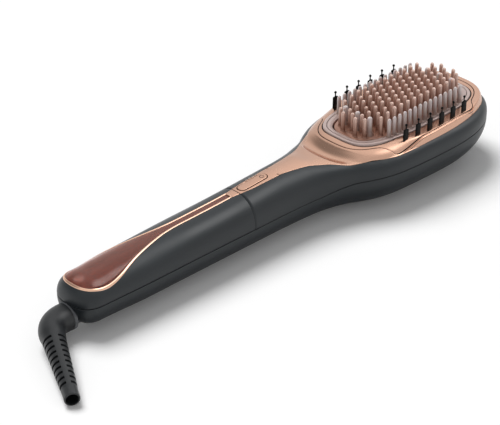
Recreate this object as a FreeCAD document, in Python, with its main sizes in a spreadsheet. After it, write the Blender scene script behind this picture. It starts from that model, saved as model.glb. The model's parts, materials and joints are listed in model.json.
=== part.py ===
"""Steam straightening brush: housing, heated comb head, lift-off water tank and swivel cord elbow.

The brush lies on its back with the bristles up. +X runs along the handle to the head, +Z is up, and the
origin is the flat spot under the middle of the head that the brush rests on. Sizes are millimetres.
"""
import FreeCAD, Part
import math
import os
import Sketcher
from FreeCAD import Placement, Rotation, Vector

doc = FreeCAD.newDocument("SteamBrush")

# ---------------------------------------------------------------- driving dimensions
DIMENSIONS = {
    # housing
    "tail_x": -249.0, "head_tip_x": 60.8, "head_centre_x": 10.0,
    "head_half_width": 36.2, "handle_radius": 15.6, "plate_height": 38.0,
    "handle_axis_height": 19.0, "handle_top_height": 34.0, "handle_bottom_height": 3.4,
    "parting_height": 17.6, "seam_x": -130.0, "seam_gap": 0.3,
    "shell_wall": 2.2, "cover_wall": 1.8,
    # rose gold top panel and its raised pad
    "panel_thickness": 1.6, "panel_tip_x": 59.4, "panel_half_width": 32.7, "panel_gap": 0.15,
    "strip_half_width": 5.0, "strip_end_x": -128.5,
    "cove_centre_x": -24.0, "cove_sweep": 39.5, "cove_radius": 7.0, "cove_height": 39.4,
    # comb ring, pin plate and bristle insert
    "ring_half_length": 50.4, "ring_half_width": 24.0, "ring_inner_length": 44.9,
    "ring_inner_width": 18.3, "plate_half_length": 44.6, "plate_half_width": 18.0,
    "groove": 0.35, "insert_half_length": 54.0, "insert_half_width": 25.9, "insert_bulge": 30.85,
    "tooth_count": 15.0, "tooth_pitch": 4.34, "tooth_height": 12.0, "tooth_length": 3.0,
    "tooth_width": 1.9, "tooth_row_y": 19.6, "pin_radius": 1.25, "pin_height": 14.4,
    "pin_pitch": 5.6, "row_pitch": 4.7, "bristle_count": 6.0, "bristle_pitch": 10.0,
    "bristle_row_y": 27.8, "bristle_height": 11.8,
    # button and electronics
    "button_x": -117.5, "button_length": 20.4, "button_width": 5.4, "button_travel": 0.8,
    "board_x": -97.2, "board_length": 48.5, "board_width": 14.0, "board_thickness": 1.6, "board_height": 28.0,
    "power_x": -176.0, "power_length": 56.0,
    # water tank
    "tray_thickness": 2.0, "fit_gap": 0.3, "trim_width": 1.1, "tank_wall": 1.5, "spout_height": 25.0,
    # cord swivel
    "swivel_height": 9.7, "collar_radius": 9.9, "collar_x": -247.4, "stub_radius": 7.7,
    "spigot_radius": 5.9, "elbow_x": -260.5, "boot_length": 58.0, "boot_end_radius": 4.1,
    "boot_root_radius": 6.7, "cord_bore_radius": 3.3, "slot_count": 10.0, "slot_pitch": 3.8,
    "slot_width": 1.5, "first_slot": 14.5,
    # steam and heat
    "heater_length": 30.0, "heater_width": 13.0, "heater_thickness": 2.8,
    "chamber_length": 74.0, "chamber_width": 25.0, "chamber_depth": 9.0,
    "pump_x": -78.0, "pump_level": 13.0, "pump_radius": 7.0, "pump_length": 34.0,
    "screw_radius": 1.2, "screw_head_radius": 2.7,
}

sheet = doc.addObject("Spreadsheet::Sheet", "Dims")
for row, (alias, value) in enumerate(DIMENSIONS.items(), start=1):
    sheet.set(f"A{row}", alias)
    sheet.set(f"B{row}", str(value))
    sheet.setAlias(f"B{row}", alias)
doc.recompute()

nodes = []


def dim(alias):
    """Value of a driving dimension, read from the sheet."""
    return float(sheet.get(alias))


def node(thing, label):
    """Name a finished sub-part; its label becomes the file name."""
    thing.Label = label
    nodes.append(thing)
    return thing


def bind(thing, **formulas):
    """Tie properties to the sheet. Double underscores stand for dots in a property path."""
    for name, formula in formulas.items():
        thing.setExpression(name.replace("__", "."), formula)
    return thing


def place(thing, x="0", y="0", z="0", turn=None):
    """Put a primitive at a formula position, with an optional fixed rotation."""
    if turn is not None:
        thing.Placement = Placement(Vector(), turn)
    return bind(thing, Placement__Base__x=x, Placement__Base__y=y, Placement__Base__z=z)


def box(name, length, width, height, x, y, z):
    """Box centred on x and y, standing on z."""
    thing = doc.addObject("Part::Box", name)
    bind(thing, Length=length, Width=width, Height=height)
    return place(thing, f"({x}) - ({length}) / 2", f"({y}) - ({width}) / 2", z)


ALONG_X = Rotation(Vector(0, 1, 0), 90)
ALONG_MINUS_X = Rotation(Vector(0, 1, 0), -90)


def cylinder(name, radius, height, x="0", y="0", z="0", turn=None):
    thing = doc.addObject("Part::Cylinder", name)
    bind(thing, Radius=radius, Height=height)
    return place(thing, x, y, z, turn)


def hexagon(name, radius, height, x="0", y="0", z="0"):
    thing = doc.addObject("Part::Prism", name)
    thing.Polygon = 6
    bind(thing, Circumradius=radius, Height=height)
    return place(thing, x, y, z)


def cut(name, base, tool):
    thing = doc.addObject("Part::Cut", name)
    thing.Base = base
    thing.Tool = tool
    return thing


def fuse(name, *shapes):
    thing = doc.addObject("Part::MultiFuse", name)
    thing.Shapes = list(shapes)
    return thing


def group(name, *shapes):
    thing = doc.addObject("Part::Compound", name)
    thing.Links = list(shapes)
    return thing


def feature(label, shape):
    """Free-form sub-part whose shape is worked out here from the sheet's values."""
    thing = doc.addObject("Part::Feature", label)
    thing.Shape = shape
    return node(thing, label)


# ---------------------------------------------------------------- PartDesign helpers
def origin_plane(body, role):
    return next(f for f in body.Origin.OriginFeatures if f.Role == role)


def sketch(body, name, role="XY_Plane", level=None):
    made = body.newObject("Sketcher::SketchObject", name)
    made.AttachmentSupport = [(origin_plane(body, role), "")]
    made.MapMode = "FlatFace"
    if level is not None:
        bind(made, AttachmentOffset__Base__z=level)
    return made


def add_circle(made, radius, x=None, y=None):
    """Circle with a radius formula, centred on the axis or at a formula position."""
    k = made.addGeometry(Part.Circle(Vector(0, 0, 0), Vector(0, 0, 1), 1.0), False)
    r = made.addConstraint(Sketcher.Constraint("Radius", k, 1.0))
    made.setExpression(f"Constraints[{r}]", radius)
    if x is None:
        made.addConstraint(Sketcher.Constraint("Coincident", k, 3, -1, 1))
        return
    cx = made.addConstraint(Sketcher.Constraint("DistanceX", -1, 1, k, 3, 1.0))
    cy = made.addConstraint(Sketcher.Constraint("DistanceY", -1, 1, k, 3, 1.0))
    made.setExpression(f"Constraints[{cx}]", x)
    made.setExpression(f"Constraints[{cy}]", y)


def add_slot(made, length, width):
    """Stadium along the sketch's horizontal axis, centred on its origin."""
    a, b = 5.0, 2.0
    up = Vector(0, 0, 1)
    made.addGeometry([
        Part.LineSegment(Vector(-a, b, 0), Vector(a, b, 0)),
        Part.ArcOfCircle(Part.Circle(Vector(a, 0, 0), up, b), -math.pi / 2, math.pi / 2),
        Part.LineSegment(Vector(a, -b, 0), Vector(-a, -b, 0)),
        Part.ArcOfCircle(Part.Circle(Vector(-a, 0, 0), up, b), math.pi / 2, 3 * math.pi / 2)], False)
    made.addConstraint([
        Sketcher.Constraint("Tangent", 0, 2, 1, 2), Sketcher.Constraint("Tangent", 1, 1, 2, 1),
        Sketcher.Constraint("Tangent", 2, 2, 3, 2), Sketcher.Constraint("Tangent", 3, 1, 0, 1),
        Sketcher.Constraint("Equal", 1, 3), Sketcher.Constraint("Horizontal", 0),
        Sketcher.Constraint("Symmetric", 1, 3, 3, 3, -1, 1)])
    r = made.addConstraint(Sketcher.Constraint("Radius", 1, b))
    d = made.addConstraint(Sketcher.Constraint("Distance", 3, 3, 1, 3, 2 * a))
    made.setExpression(f"Constraints[{r}]", f"({width}) / 2")
    made.setExpression(f"Constraints[{d}]", f"({length}) - ({width})")


def add_rectangle(made, length, width):
    """Rectangle centred on the sketch's origin."""
    a, b = 5.0, 2.0
    corners = [Vector(-a, -b, 0), Vector(a, -b, 0), Vector(a, b, 0), Vector(-a, b, 0)]
    sides = [made.addGeometry(Part.LineSegment(corners[i], corners[(i + 1) % 4]), False) for i in range(4)]
    for i in range(4):
        made.addConstraint(Sketcher.Constraint("Coincident", sides[i], 2, sides[(i + 1) % 4], 1))
        made.addConstraint(Sketcher.Constraint("Vertical" if i % 2 else "Horizontal", sides[i]))
    made.addConstraint(Sketcher.Constraint("Symmetric", sides[0], 1, sides[1], 2, -1, 1))
    d = made.addConstraint(Sketcher.Constraint("DistanceX", sides[0], 1, sides[0], 2, 2 * a))
    e = made.addConstraint(Sketcher.Constraint("DistanceY", sides[1], 1, sides[1], 2, 2 * b))
    made.setExpression(f"Constraints[{d}]", length)
    made.setExpression(f"Constraints[{e}]", width)


def new_body(name):
    return doc.addObject("PartDesign::Body", name)


def pad(body, profile, length, name="Pad"):
    made = body.newObject("PartDesign::Pad", name)
    made.Profile = profile
    made.Refine = True
    return bind(made, Length=length)


def pocket(body, profile, name="Pocket", length=None):
    """Cut downwards from the sketch, to a depth or through all."""
    made = body.newObject("PartDesign::Pocket", name)
    made.Profile = profile
    if length is None:
        made.Type = "ThroughAll"
        made.Midplane = True
    else:
        bind(made, Length=length)
    return made


# ---------------------------------------------------------------- body form
def superellipse_point(angle, half_a, half_b, power):
    """Point of |x/a|^n + |y/b|^n = 1 at a polar angle of the unit figure."""
    c, s = math.cos(angle), math.sin(angle)
    reach = (abs(c) ** power + abs(s) ** power) ** (-1.0 / power)
    return half_a * c * reach, half_b * s * reach


def between(table, x):
    """Smooth value of a (x, value) table: cubic with slopes limited as in monotone curves."""
    for (xa, va), (xb, vb) in zip(table, table[1:]):
        if x <= xb or (xb, vb) == table[-1]:
            break
    k = table.index((xb, vb))
    steps = [(table[i + 1][1] - table[i][1]) / (table[i + 1][0] - table[i][0]) for i in range(len(table) - 1)]

    def slope(i):
        if i == 0 or i == len(table) - 1 or steps[i - 1] * steps[i] <= 0:
            return 0.0
        return 2 * steps[i - 1] * steps[i] / (steps[i - 1] + steps[i])
    span = xb - xa
    u = min(1.0, max(0.0, (x - xa) / span))
    return ((2 * u ** 3 - 3 * u ** 2 + 1) * va + (u ** 3 - 2 * u ** 2 + u) * span * slope(k - 1)
            + (3 * u ** 2 - 2 * u ** 3) * vb + (u ** 3 - u ** 2) * span * slope(k))


HANDLE_R = dim("handle_radius")
HEAD_W = dim("head_half_width")
PLATE_Z = dim("plate_height")
TAIL_X, TIP_X = dim("tail_x"), dim("head_tip_x")
TAIL_ROUND = 14.0            # length over which the tail closes
HEAD_POWER = 2.5             # plan roundness of the head
ARC_STEPS = 12               # spans of one half section
PLAN_STEPS = 16              # spans of half a plan outline
INSERT_STEPS = 28            # spans of half the stepped outline round the comb ring

# The handle is nearly round. The neck widens to the head, and dips in front of the raised pad.
WIDTHS = [(TAIL_X + TAIL_ROUND, 0.97 * HANDLE_R), (-205.0, 1.005 * HANDLE_R), (-170.0, 0.993 * HANDLE_R),
          (-110.0, HANDLE_R), (-95.0, 1.03 * HANDLE_R), (-82.0, 1.10 * HANDLE_R), (-70.0, 1.25 * HANDLE_R),
          (-60.0, 0.635 * HEAD_W), (-50.0, 0.79 * HEAD_W), (-42.0, 0.888 * HEAD_W), (-30.0, 0.955 * HEAD_W),
          (-10.0, 0.989 * HEAD_W), (10.0, HEAD_W)]
WIDEST = [(TAIL_X, 18.2), (-110.0, dim("handle_axis_height")), (-80.0, 20.5), (-60.0, 22.0), (-40.0, 22.5),
          (0.0, 23.0), (TIP_X, 26.0)]
TOPS = [(TAIL_X + TAIL_ROUND, 31.2), (-225.0, 32.0), (-205.0, 33.1), (-185.0, 33.8),
        (-165.0, dim("handle_top_height")), (-140.0, dim("handle_top_height")), (-128.0, 36.0), (-100.0, 37.0),
        (-84.0, 36.8), (-74.0, 35.4), (-66.0, 34.6), (-58.0, 34.0), (-48.0, 34.4), (-35.0, 36.0), (0.0, 36.8),
        (40.0, 36.8), (TIP_X, 35.0)]
BOTTOMS = [(TAIL_X + TAIL_ROUND, 4.2), (-200.0, dim("handle_bottom_height")), (-110.0, 3.4), (-80.0, 3.0),
           (-60.0, 1.7), (-30.0, -0.2), (5.0, -0.4)]
TOP_POWERS = [(TAIL_X, 2.0), (-205.0, 2.0), (-165.0, 2.5), (-105.0, 2.5), (-85.0, 2.7), (-66.0, 4.5), (-55.0, 4.0),
              (-40.0, 2.9), (TIP_X, 2.7)]
BOTTOM_POWERS = [(TAIL_X, 2.8), (-100.0, 2.8), (-60.0, 2.6), (0.0, 2.5), (TIP_X, 2.5)]


def body_section(x, inset):
    """Half width, widest level, top and bottom level of the housing at x, moved in by inset."""
    tail, tip = TAIL_X + inset, TIP_X - inset
    widest = between(WIDEST, x)
    width, top, bottom = between(WIDTHS, x), between(TOPS, x), between(BOTTOMS, x)
    if x < TAIL_X + TAIL_ROUND:
        reach = (TAIL_X + TAIL_ROUND - x) / (TAIL_X + TAIL_ROUND - tail)
        shrink = (1 - min(1.0, reach) ** 2.6) ** (1 / 2.6)
        return ((width - inset) * shrink, widest, widest + (top - inset - widest) * shrink,
                widest - (widest - bottom - inset) * shrink)
    centre = dim("head_centre_x")
    plan, depth = 1.0, 1.0
    if x > centre:
        plan = (1 - ((x - centre) / (tip - centre)) ** HEAD_POWER) ** (1 / HEAD_POWER)
    if x > 5.0:
        depth = (1 - ((x - 5.0) / (tip - 5.0)) ** 2.2) ** (1 / 2.2)
    drop = 1.0 if x < 50.0 else (1 - ((x - 50.0) / (tip - 50.0)) ** 3) ** (1 / 3)
    return ((width - inset) * plan, widest, widest + (top - inset - widest) * drop,
            widest - (widest - bottom - inset) * depth)


def half_outline(x, half_width, widest, crest, power):
    """Upper or lower half of a section: a superellipse arc that ends upright at the widest level."""
    points = []
    for k in range(ARC_STEPS + 1):
        y, rise = superellipse_point(math.pi * k / ARC_STEPS, half_width, 1.0, power)
        points.append(Vector(x, y, widest + rise * (crest - widest)))
    points[0].z = points[-1].z = widest
    start = Vector(0, 0, math.pi * (crest - widest))
    curve = Part.BSplineCurve()
    curve.interpolate(Points=points, Parameters=[k / ARC_STEPS for k in range(ARC_STEPS + 1)],
                      InitialTangent=start, FinalTangent=-start, Scale=False)
    return curve.toShape()


def body_form(inset):
    """The whole outer form, or a copy moved in by a wall thickness, as one lofted solid."""
    tail, tip, centre = TAIL_X + inset, TIP_X - inset, dim("head_centre_x")
    rounding = TAIL_X + TAIL_ROUND - tail
    stations = [tail + rounding * (1 - superellipse_point(math.radians(a), 1, 1, 2.6)[0])
                for a in (5, 14, 26, 40, 56, 74)]
    stations += [TAIL_X + TAIL_ROUND + 1 + 8.5 * k for k in range(17)]
    stations += [-90, -83, -76, -69, -63, -57, -50, -42, -32, -20, -5, 10]
    stations += [centre + (tip - centre) * superellipse_point(math.radians(a), 1, 1, HEAD_POWER)[0]
                 for a in (72, 58, 46, 36, 26, 17, 9, 4)]
    wires = []
    for x in stations:
        half_width, widest, top, bottom = body_section(x, inset)
        upper = half_outline(x, half_width, widest, top, between(TOP_POWERS, x))
        lower = half_outline(x, half_width, widest, bottom, between(BOTTOM_POWERS, x))
        wires.append(Part.Wire([upper, lower]))
    return Part.makeLoft(wires, True, False)


def smooth_outline(half):
    """Closed wire from one half outline, upright at both of its ends, and its mirror image."""
    curves = []
    for side in (1, -1):
        points = [Vector(p.x, side * p.y, p.z) for p in half]
        curve = Part.BSplineCurve()
        curve.interpolate(Points=points, InitialTangent=Vector(0, side, 0), FinalTangent=Vector(0, -side, 0))
        curves.append(curve.toShape())
    return Part.Wire(curves)


def straight_outline(half):
    """The same closed wire drawn with short straight edges."""
    ring = half + [Vector(p.x, -p.y, p.z) for p in reversed(half[1:-1])]
    return Part.makePolygon(ring + ring[:1])


def half_plan(half_a_right, half_a_left, half_b, power_right, power_left, z):
    """Half of a superellipse outline in plan, with its own length and power at each end."""
    points = []
    for k in range(PLAN_STEPS + 1):
        angle = math.pi * k / PLAN_STEPS
        right = math.cos(angle) >= 0
        x, y = superellipse_point(angle, half_a_right if right else half_a_left, half_b,
                                  power_right if right else power_left)
        points.append(Vector(x, y if 0 < k < PLAN_STEPS else 0, z))
    return points


def prism(wire, height):
    return Part.Face(wire).extrude(Vector(0, 0, height))


def pad_form(inset):
    """Raised pad of the head: outlines stacked upwards, each a little smaller, to a flat top."""
    tip, width = dim("panel_tip_x") - inset, dim("panel_half_width") - inset
    layers = [(0.0, -6.6), (1.1, -4.4), (2.9, -2.6), (5.6, -1.2), (9.0, -0.35), (12.5, 0.0)]
    wires = [smooth_outline(half_plan(tip, 62.5 - inset, width, 2.6, 2.6, PLATE_Z - 16))]
    for shrink, level in layers:
        left = 62.5 - shrink * 1.25 - inset
        outline = half_plan(tip - shrink, left, width - shrink, 2.6, 2.6, PLATE_Z + level - inset)
        wires.append(smooth_outline(outline))
    return Part.makeLoft(wires, True, True)


def cove_form(inset):
    """Scooped cove in front of the raised pad, swept around the pad's end."""
    ring = Part.makeTorus(dim("cove_sweep"), dim("cove_radius") + inset, Vector(dim("cove_centre_x"), 0, dim("cove_height")))
    return ring.common(Part.makeBox(80, 120, 60, Vector(-118, -60, 10)))


def top_form(inset):
    """Housing form with the raised pad added and the cove taken out."""
    return body_form(inset).fuse(pad_form(inset)).cut(cove_form(inset))


# Half widths of the rose gold panel along the neck, from the pad to the strip on the handle.
PANEL_EDGE = [(-17.0, 32.4), (-25.6, 31.8), (-33.0, 30.8), (-39.0, 28.9), (-44.4, 26.4), (-49.6, 23.8),
              (-55.2, 21.3), (-60.6, 18.7), (-65.3, 15.8), (-69.9, 12.9), (-75.3, 10.4), (-81.2, 8.3),
              (-87.5, 6.9), (-94.3, 5.8), (-101.0, dim("strip_half_width"))]


def panel_wire(grow, z):
    """Plan outline of the panel: rounded at the head, waisted at the neck, a strip on the handle."""
    tip, width = dim("panel_tip_x") + grow, dim("panel_half_width") + grow
    edge = [superellipse_point(math.pi / 2 * k / 12, tip, width, 2.6) for k in range(1, 13)]
    edge += [(x, y + grow) for x, y in PANEL_EDGE]
    edge += [(-112.0, 4.7 + grow), (-121.0, 4.3 + grow), (dim("strip_end_x") - grow, 3.5 + grow)]
    ring = [Vector(tip, 0, z)] + [Vector(x, y, z) for x, y in edge] + [Vector(x, -y, z) for x, y in reversed(edge)]
    return Part.makePolygon(ring + ring[:1])


def insert_wire(grow, z):
    """Outline of the bristle insert: follows the comb ring, then steps out along both sides."""
    half_length, half_width = dim("insert_half_length") + grow, dim("insert_half_width") + grow
    bulge = dim("insert_bulge") + grow
    points = []
    for k in range(INSERT_STEPS + 1):
        angle = math.pi * k / INSERT_STEPS
        left = math.cos(angle) < 0
        x, y = superellipse_point(angle, half_length + (0.6 if left else 0.0), half_width, 2.9)
        inside = 1.0 / (1.0 + math.exp((abs(x) - 36.2) / 1.3))
        points.append(Vector(x, y + max(0.0, bulge - 0.0013 * (x + 8) ** 2 - y) * inside, z))
    points[0].y = points[-1].y = 0
    return straight_outline(points)


def ring_wire(half_length, half_width, z):
    return straight_outline(half_plan(half_length, half_length, half_width, 3.3, 3.3, z))


def above_parting(lift):
    """Everything above the parting line, which climbs gently from the handle to the head."""
    base = dim("parting_height")
    line = [(-275.0, base), (-110.0, base), (-82.0, 18.0), (-70.0, 19.5), (-58.0, 21.2), (-40.0, 22.5), (0.0, 23.0),
            (40.0, 24.6), (80.0, 27.0)]
    curve = Part.BSplineCurve()
    curve.interpolate([Vector(x, -70, z + lift) for x, z in line[1:]])
    first, last = Vector(-110, -70, base + lift), Vector(80, -70, 27.0 + lift)
    start, up_a, up_b = Vector(-275, -70, base + lift), Vector(-275, -70, 70), Vector(80, -70, 70)
    edges = [Part.LineSegment(start, first).toShape(), curve.toShape(), Part.LineSegment(last, up_b).toShape(),
             Part.LineSegment(up_b, up_a).toShape(), Part.LineSegment(up_a, start).toShape()]
    return Part.Face(Part.Wire(edges)).extrude(Vector(0, 140, 0))


# ---------------------------------------------------------------- small shape helpers
def block(x0, x1, y0, y1, z0, z1):
    return Part.makeBox(x1 - x0, y1 - y0, z1 - z0, Vector(x0, y0, z0))


def rod(radius, length, x, y, z, way):
    return Part.makeCylinder(radius, length, Vector(x, y, z), way)


def join(base, pieces):
    for piece in pieces:
        base = base.fuse(piece)
    return base


def remove(base, pieces):
    for piece in pieces:
        base = base.cut(piece)
    return base


def stadium(length, width, x, y, z, height):
    """Upright stadium-shaped prism centred on x and y."""
    straight, r = (length - width) / 2, width / 2
    shape = block(x - straight, x + straight, y - r, y + r, z, z + height)
    return shape.fuse([rod(r, height, x - straight, y, z, UP), rod(r, height, x + straight, y, z, UP)]).removeSplitter()


def corner_ring(radius, x, y, z, sides):
    """Closed regular polygon in plan."""
    corners = []
    for k in range(sides + 1):
        angle = 2 * math.pi * (k % sides + 0.5) / sides
        corners.append(Vector(x + radius * math.cos(angle), y + radius * math.sin(angle), z))
    return Part.makePolygon(corners)


def facet_rod(radius, height, x, y, z, sides=8):
    """Upright rod with flat facets, for small repeated pieces."""
    return prism(corner_ring(radius, x, y, z, sides), height)


def peg(x, y, z, radius, height, tip, sides=6):
    """Faceted pin with a slightly tapered shank and a rounded-off tip, standing on z."""
    rings = [corner_ring(r, x, y, level, sides) for r, level in
             ((radius, z), (0.9 * radius, z + height - tip), (0.45 * radius, z + height))]
    return Part.makeLoft(rings, True, True)


def hose(points, outer_radius, inner_radius, bend):
    """Eight-sided tube in an upright plane, along straight runs joined by tangent arcs of one radius."""
    edges, start = [], points[0]
    for before, corner, after in zip(points, points[1:], points[2:]):
        back = (before - corner).normalize()
        ahead = (after - corner).normalize()
        half = (math.pi - back.getAngle(ahead)) / 2
        reach = bend * math.tan(half)
        enter, leave = corner + back * reach, corner + ahead * reach
        bisector = (back + ahead).normalize()
        middle = corner + bisector * (bend / math.cos(half) - bend)
        edges += [Part.LineSegment(start, enter).toShape(), Part.Arc(enter, middle, leave).toShape()]
        start = leave
    edges.append(Part.LineSegment(start, points[-1]).toShape())
    path = Part.Wire(edges)
    way = (points[1] - points[0]).normalize()
    across = Vector(0, 1, 0)
    beside = way.cross(across)
    tubes = []
    for radius in (outer_radius, inner_radius):
        corners = []
        for k in range(9):
            angle = math.radians(45 * (k % 8) + 22.5)
            corners.append(points[0] + across * (radius * math.cos(angle)) + beside * (radius * math.sin(angle)))
        tubes.append(path.makePipeShell([Part.makePolygon(corners)], True, False))
    return tubes[0].cut(tubes[1])


UP, DOWN = Vector(0, 0, 1), Vector(0, 0, -1)
FORWARD, BACK = Vector(1, 0, 0), Vector(-1, 0, 0)

# ---------------------------------------------------------------- shared forms and levels
WALL = dim("shell_wall")
COVER = dim("cover_wall")
PANEL = dim("panel_thickness")
GAP = dim("panel_gap")
SEAM_FRONT = dim("seam_x") + dim("seam_gap") / 2      # the handle starts here
SEAM_BACK = dim("seam_x") - dim("seam_gap") / 2       # the tank ends here
PARTING = dim("parting_height")
TRAY_TOP = PARTING + dim("tray_thickness")
TANK_FLOOR = TRAY_TOP + dim("fit_gap")
SWIVEL_Z = dim("swivel_height")
COLLAR_X = dim("collar_x")
BORE_R = dim("cord_bore_radius")
SCREW_R, SCREW_HEAD_R = dim("screw_radius"), dim("screw_head_radius")
BUTTON_X = dim("button_x")
SPOUT_Z = dim("spout_height")
BOARD_Z = dim("board_height")
FRAME_TOP = PLATE_Z - 4.0

HEAD_SCREWS = [(38.0, 18.0), (38.0, -18.0), (-42.0, 18.0), (-42.0, -18.0)]
HANDLE_SCREW = (-103.0, -3.8)
TRAY_SCREW = (-221.0, 0.0)
HEAD_SEAT, HANDLE_SEAT = 6.0, 6.6                     # level of the screw heads' inner faces
BOSS_TOP = 14.5
PUMP_X, PUMP_Z = dim("pump_x"), dim("pump_level")
POWER_POSTS = [(-198.0, 0.0), (-154.0, 0.0)]
BOARD_SCREWS = [(-104.0, 3.2), (-77.0, 0.0)]

outer = body_form(0.0)
outer_top = top_form(0.0)
hollow = body_form(WALL)
upper_space = above_parting(0.0)


# ---------------------------------------------------------------- lower shell
def lower_shell():
    """Tray-like half of the housing, with the swivel collar, screw bosses and pump cradle."""
    shell = outer.cut(hollow).cut(upper_space)
    core = body_form(0.6 * WALL)
    bosses = [rod(4.2, BOSS_TOP, x, y, 0, UP) for x, y in HEAD_SCREWS]
    bosses.append(rod(3.7, BOSS_TOP, *HANDLE_SCREW, 0, UP))
    bosses.append(rod(4.0, PARTING, *TRAY_SCREW, 0, UP))
    bosses += [rod(3.0, 10.0, x, y, 0, UP) for x, y in POWER_POSTS]
    ribs = [block(PUMP_X + dx - 1, PUMP_X + dx + 1, -16, 16, 2, PUMP_Z) for dx in (-11.0, 11.0)]
    collar = rod(dim("collar_radius"), 16.0, COLLAR_X, 0, SWIVEL_Z, FORWARD)
    shell = join(shell, [piece.common(core) for piece in bosses + ribs])
    shell = shell.fuse(collar.common(block(-260, -220, -20, 20, 0, PARTING)))
    holes = [rod(dim("spigot_radius") + 0.08, 12.0, COLLAR_X - 1, 0, SWIVEL_Z, FORWARD),
             rod(8.0, 8.0, COLLAR_X + 7.0, 0, SWIVEL_Z, FORWARD),
             rod(4.0, 4.0, COLLAR_X + 14.0, 0, SWIVEL_Z, FORWARD),
             rod(8.1, 6.0, COLLAR_X, 0, SWIVEL_Z, BACK),
             rod(dim("pump_radius") + 0.05, 30.0, PUMP_X - 15.0, 0, PUMP_Z, FORWARD),
             block(-300, 100, -60, 60, -10, 0)]
    for x, y in HEAD_SCREWS + [HANDLE_SCREW, TRAY_SCREW]:
        holes.append(rod(SCREW_R + 0.25, 30.0, x, y, -2, UP))
    for x, y in HEAD_SCREWS:
        holes.append(rod(SCREW_HEAD_R + 0.2, HEAD_SEAT + 2, x, y, -2, UP))
    for x, y in (HANDLE_SCREW, TRAY_SCREW):
        holes.append(rod(SCREW_HEAD_R + 0.2, HANDLE_SEAT + 2, x, y, -2, UP))
    holes += [rod(0.8, 5.0, x, y, 6.0, UP) for x, y in POWER_POSTS]
    return remove(shell, holes)


feature("lower_shell", lower_shell())


def level_outline(inset, front, level, z):
    """Plan outline of the tail of the housing form at one level, from x = front backwards."""
    edge = []
    for x in (front, -145, -160, -175, -190, -205, -220, -230, -236, -240, -243, -245, -246, -246.6):
        half_width, widest, top, _ = body_section(x, inset)
        power = between(TOP_POWERS, x)
        edge.append(Vector(x, half_width * (1 - ((level - widest) / (top - widest)) ** power) ** (1 / power), z))
    ring = edge + [Vector(p.x, -p.y, z) for p in reversed(edge)]
    return Part.makePolygon(ring + ring[:1])


# ---------------------------------------------------------------- tray under the tank
RAIL_FROM, RAIL_TO, RAIL_TOP = -227.0, -150.0, TRAY_TOP + 1.5
SKIRT = 1.2                                           # wall of the shroud where it reaches down over the deck


def tank_tray():
    """Deck that closes the lower shell under the tank, with the rail that the tank slides on."""
    base = PARTING + 0.1
    deck = prism(level_outline(SKIRT + 0.5, SEAM_BACK, TRAY_TOP, base), TRAY_TOP - base)
    rail = block(RAIL_FROM, RAIL_TO, -4, 4, PARTING + 0.1, RAIL_TOP)
    return deck.fuse(rail).cut(rod(SCREW_R + 0.05, 3.2, *TRAY_SCREW, PARTING, UP))


feature("tank_tray", tank_tray())


# ---------------------------------------------------------------- upper shell
GUIDE_Y, GUIDE_X = 3.85, [BUTTON_X - 0.9 + 2.4 * k for k in range(4)]


def button_slots(grow, z, height):
    """Openings for the button and for the four light windows beside it."""
    slots = [stadium(dim("button_length") + 2 * grow, dim("button_width") + 2 * grow, BUTTON_X, 0, z, height)]
    for x in GUIDE_X:
        half_x, half_y = 0.7 + grow / 3, 0.28 + grow / 3
        slots.append(block(x - half_x, x + half_x, GUIDE_Y - half_y, GUIDE_Y + half_y, z, z + height))
    return slots


def upper_shell():
    """Soft-touch upper half: side wall, recessed deck under the panel, bulkhead at the tank."""
    front = block(SEAM_FRONT, 80, -60, 60, 0, 60)
    wall = outer.cut(hollow).common(upper_space).common(front).cut(prism(panel_wire(GAP, 10), 60))
    deck = top_form(PANEL + 0.05).cut(top_form(PANEL + 1.8)).common(prism(panel_wire(1.0, 27.0), 20)).common(front)
    bulkhead = body_form(PANEL + 0.05).common(block(SEAM_FRONT, SEAM_FRONT + 2, -20, 20, PARTING + 0.1, 40))
    post = rod(3.5, 34.0 - BOSS_TOP - 0.1, *HANDLE_SCREW, BOSS_TOP + 0.1, UP)
    stubs = [rod(2.3, 4.4, x, y, BOARD_Z + dim("board_thickness"), UP) for x, y in BOARD_SCREWS]
    opening = prism(insert_wire(0.35, 20), 30)
    shell = join(wall, [deck.cut(opening), bulkhead, post] + stubs)
    holes = [rod(4.3, 6.0, SEAM_FRONT - 2, 0, SPOUT_Z, FORWARD),
             rod(SCREW_R + 0.05, 12.0, *HANDLE_SCREW, BOSS_TOP, UP)]
    holes += [rod(0.8, 4.2, x, y, BOARD_Z + 1, UP) for x, y in BOARD_SCREWS]
    return remove(shell, holes + button_slots(0.3, 30, 12))


feature("upper_shell", upper_shell())


# ---------------------------------------------------------------- rose gold panel and bristle insert
panel_skin = outer_top.cut(top_form(PANEL))


def top_panel():
    """Metallised cap over the head, neck and handle top: one curved skin with a raised pad."""
    skin = panel_skin.common(prism(panel_wire(0.0, 29), 20))
    return remove(skin, [prism(insert_wire(dim("groove"), 12), 40)] + button_slots(0.3, 28, 12))


def bristle_row(side):
    """Plan positions of the soft bristles along one side, bowed gently outwards at mid length."""
    count = int(dim("bristle_count"))
    spots = []
    for k in range(count):
        step = k - (count - 1) / 2
        spots.append((1.3 + step * dim("bristle_pitch"), side * (dim("bristle_row_y") + 0.35 - 0.074 * step * step)))
    return spots


def pad_insert():
    """Separate rim of the pad that the soft bristles stand in, with a skirt that plugs round the frame."""
    rim = pad_form(0.0).common(prism(insert_wire(0.0, 31.6), 20))
    hole = prism(ring_wire(dim("ring_half_length") + 0.3, dim("ring_half_width") + 0.3, 20), 40)
    seat = prism(insert_wire(-1.1, 31), FRAME_TOP - 31)
    slots = [block(x - 1.5, x + 1.5, y - 0.75, y + 0.75, 30, 45) for s in (-1, 1) for x, y in bristle_row(s)]
    return remove(rim, [hole, seat] + slots)


feature("top_panel", top_panel())
feature("pad_insert", pad_insert())


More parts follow.
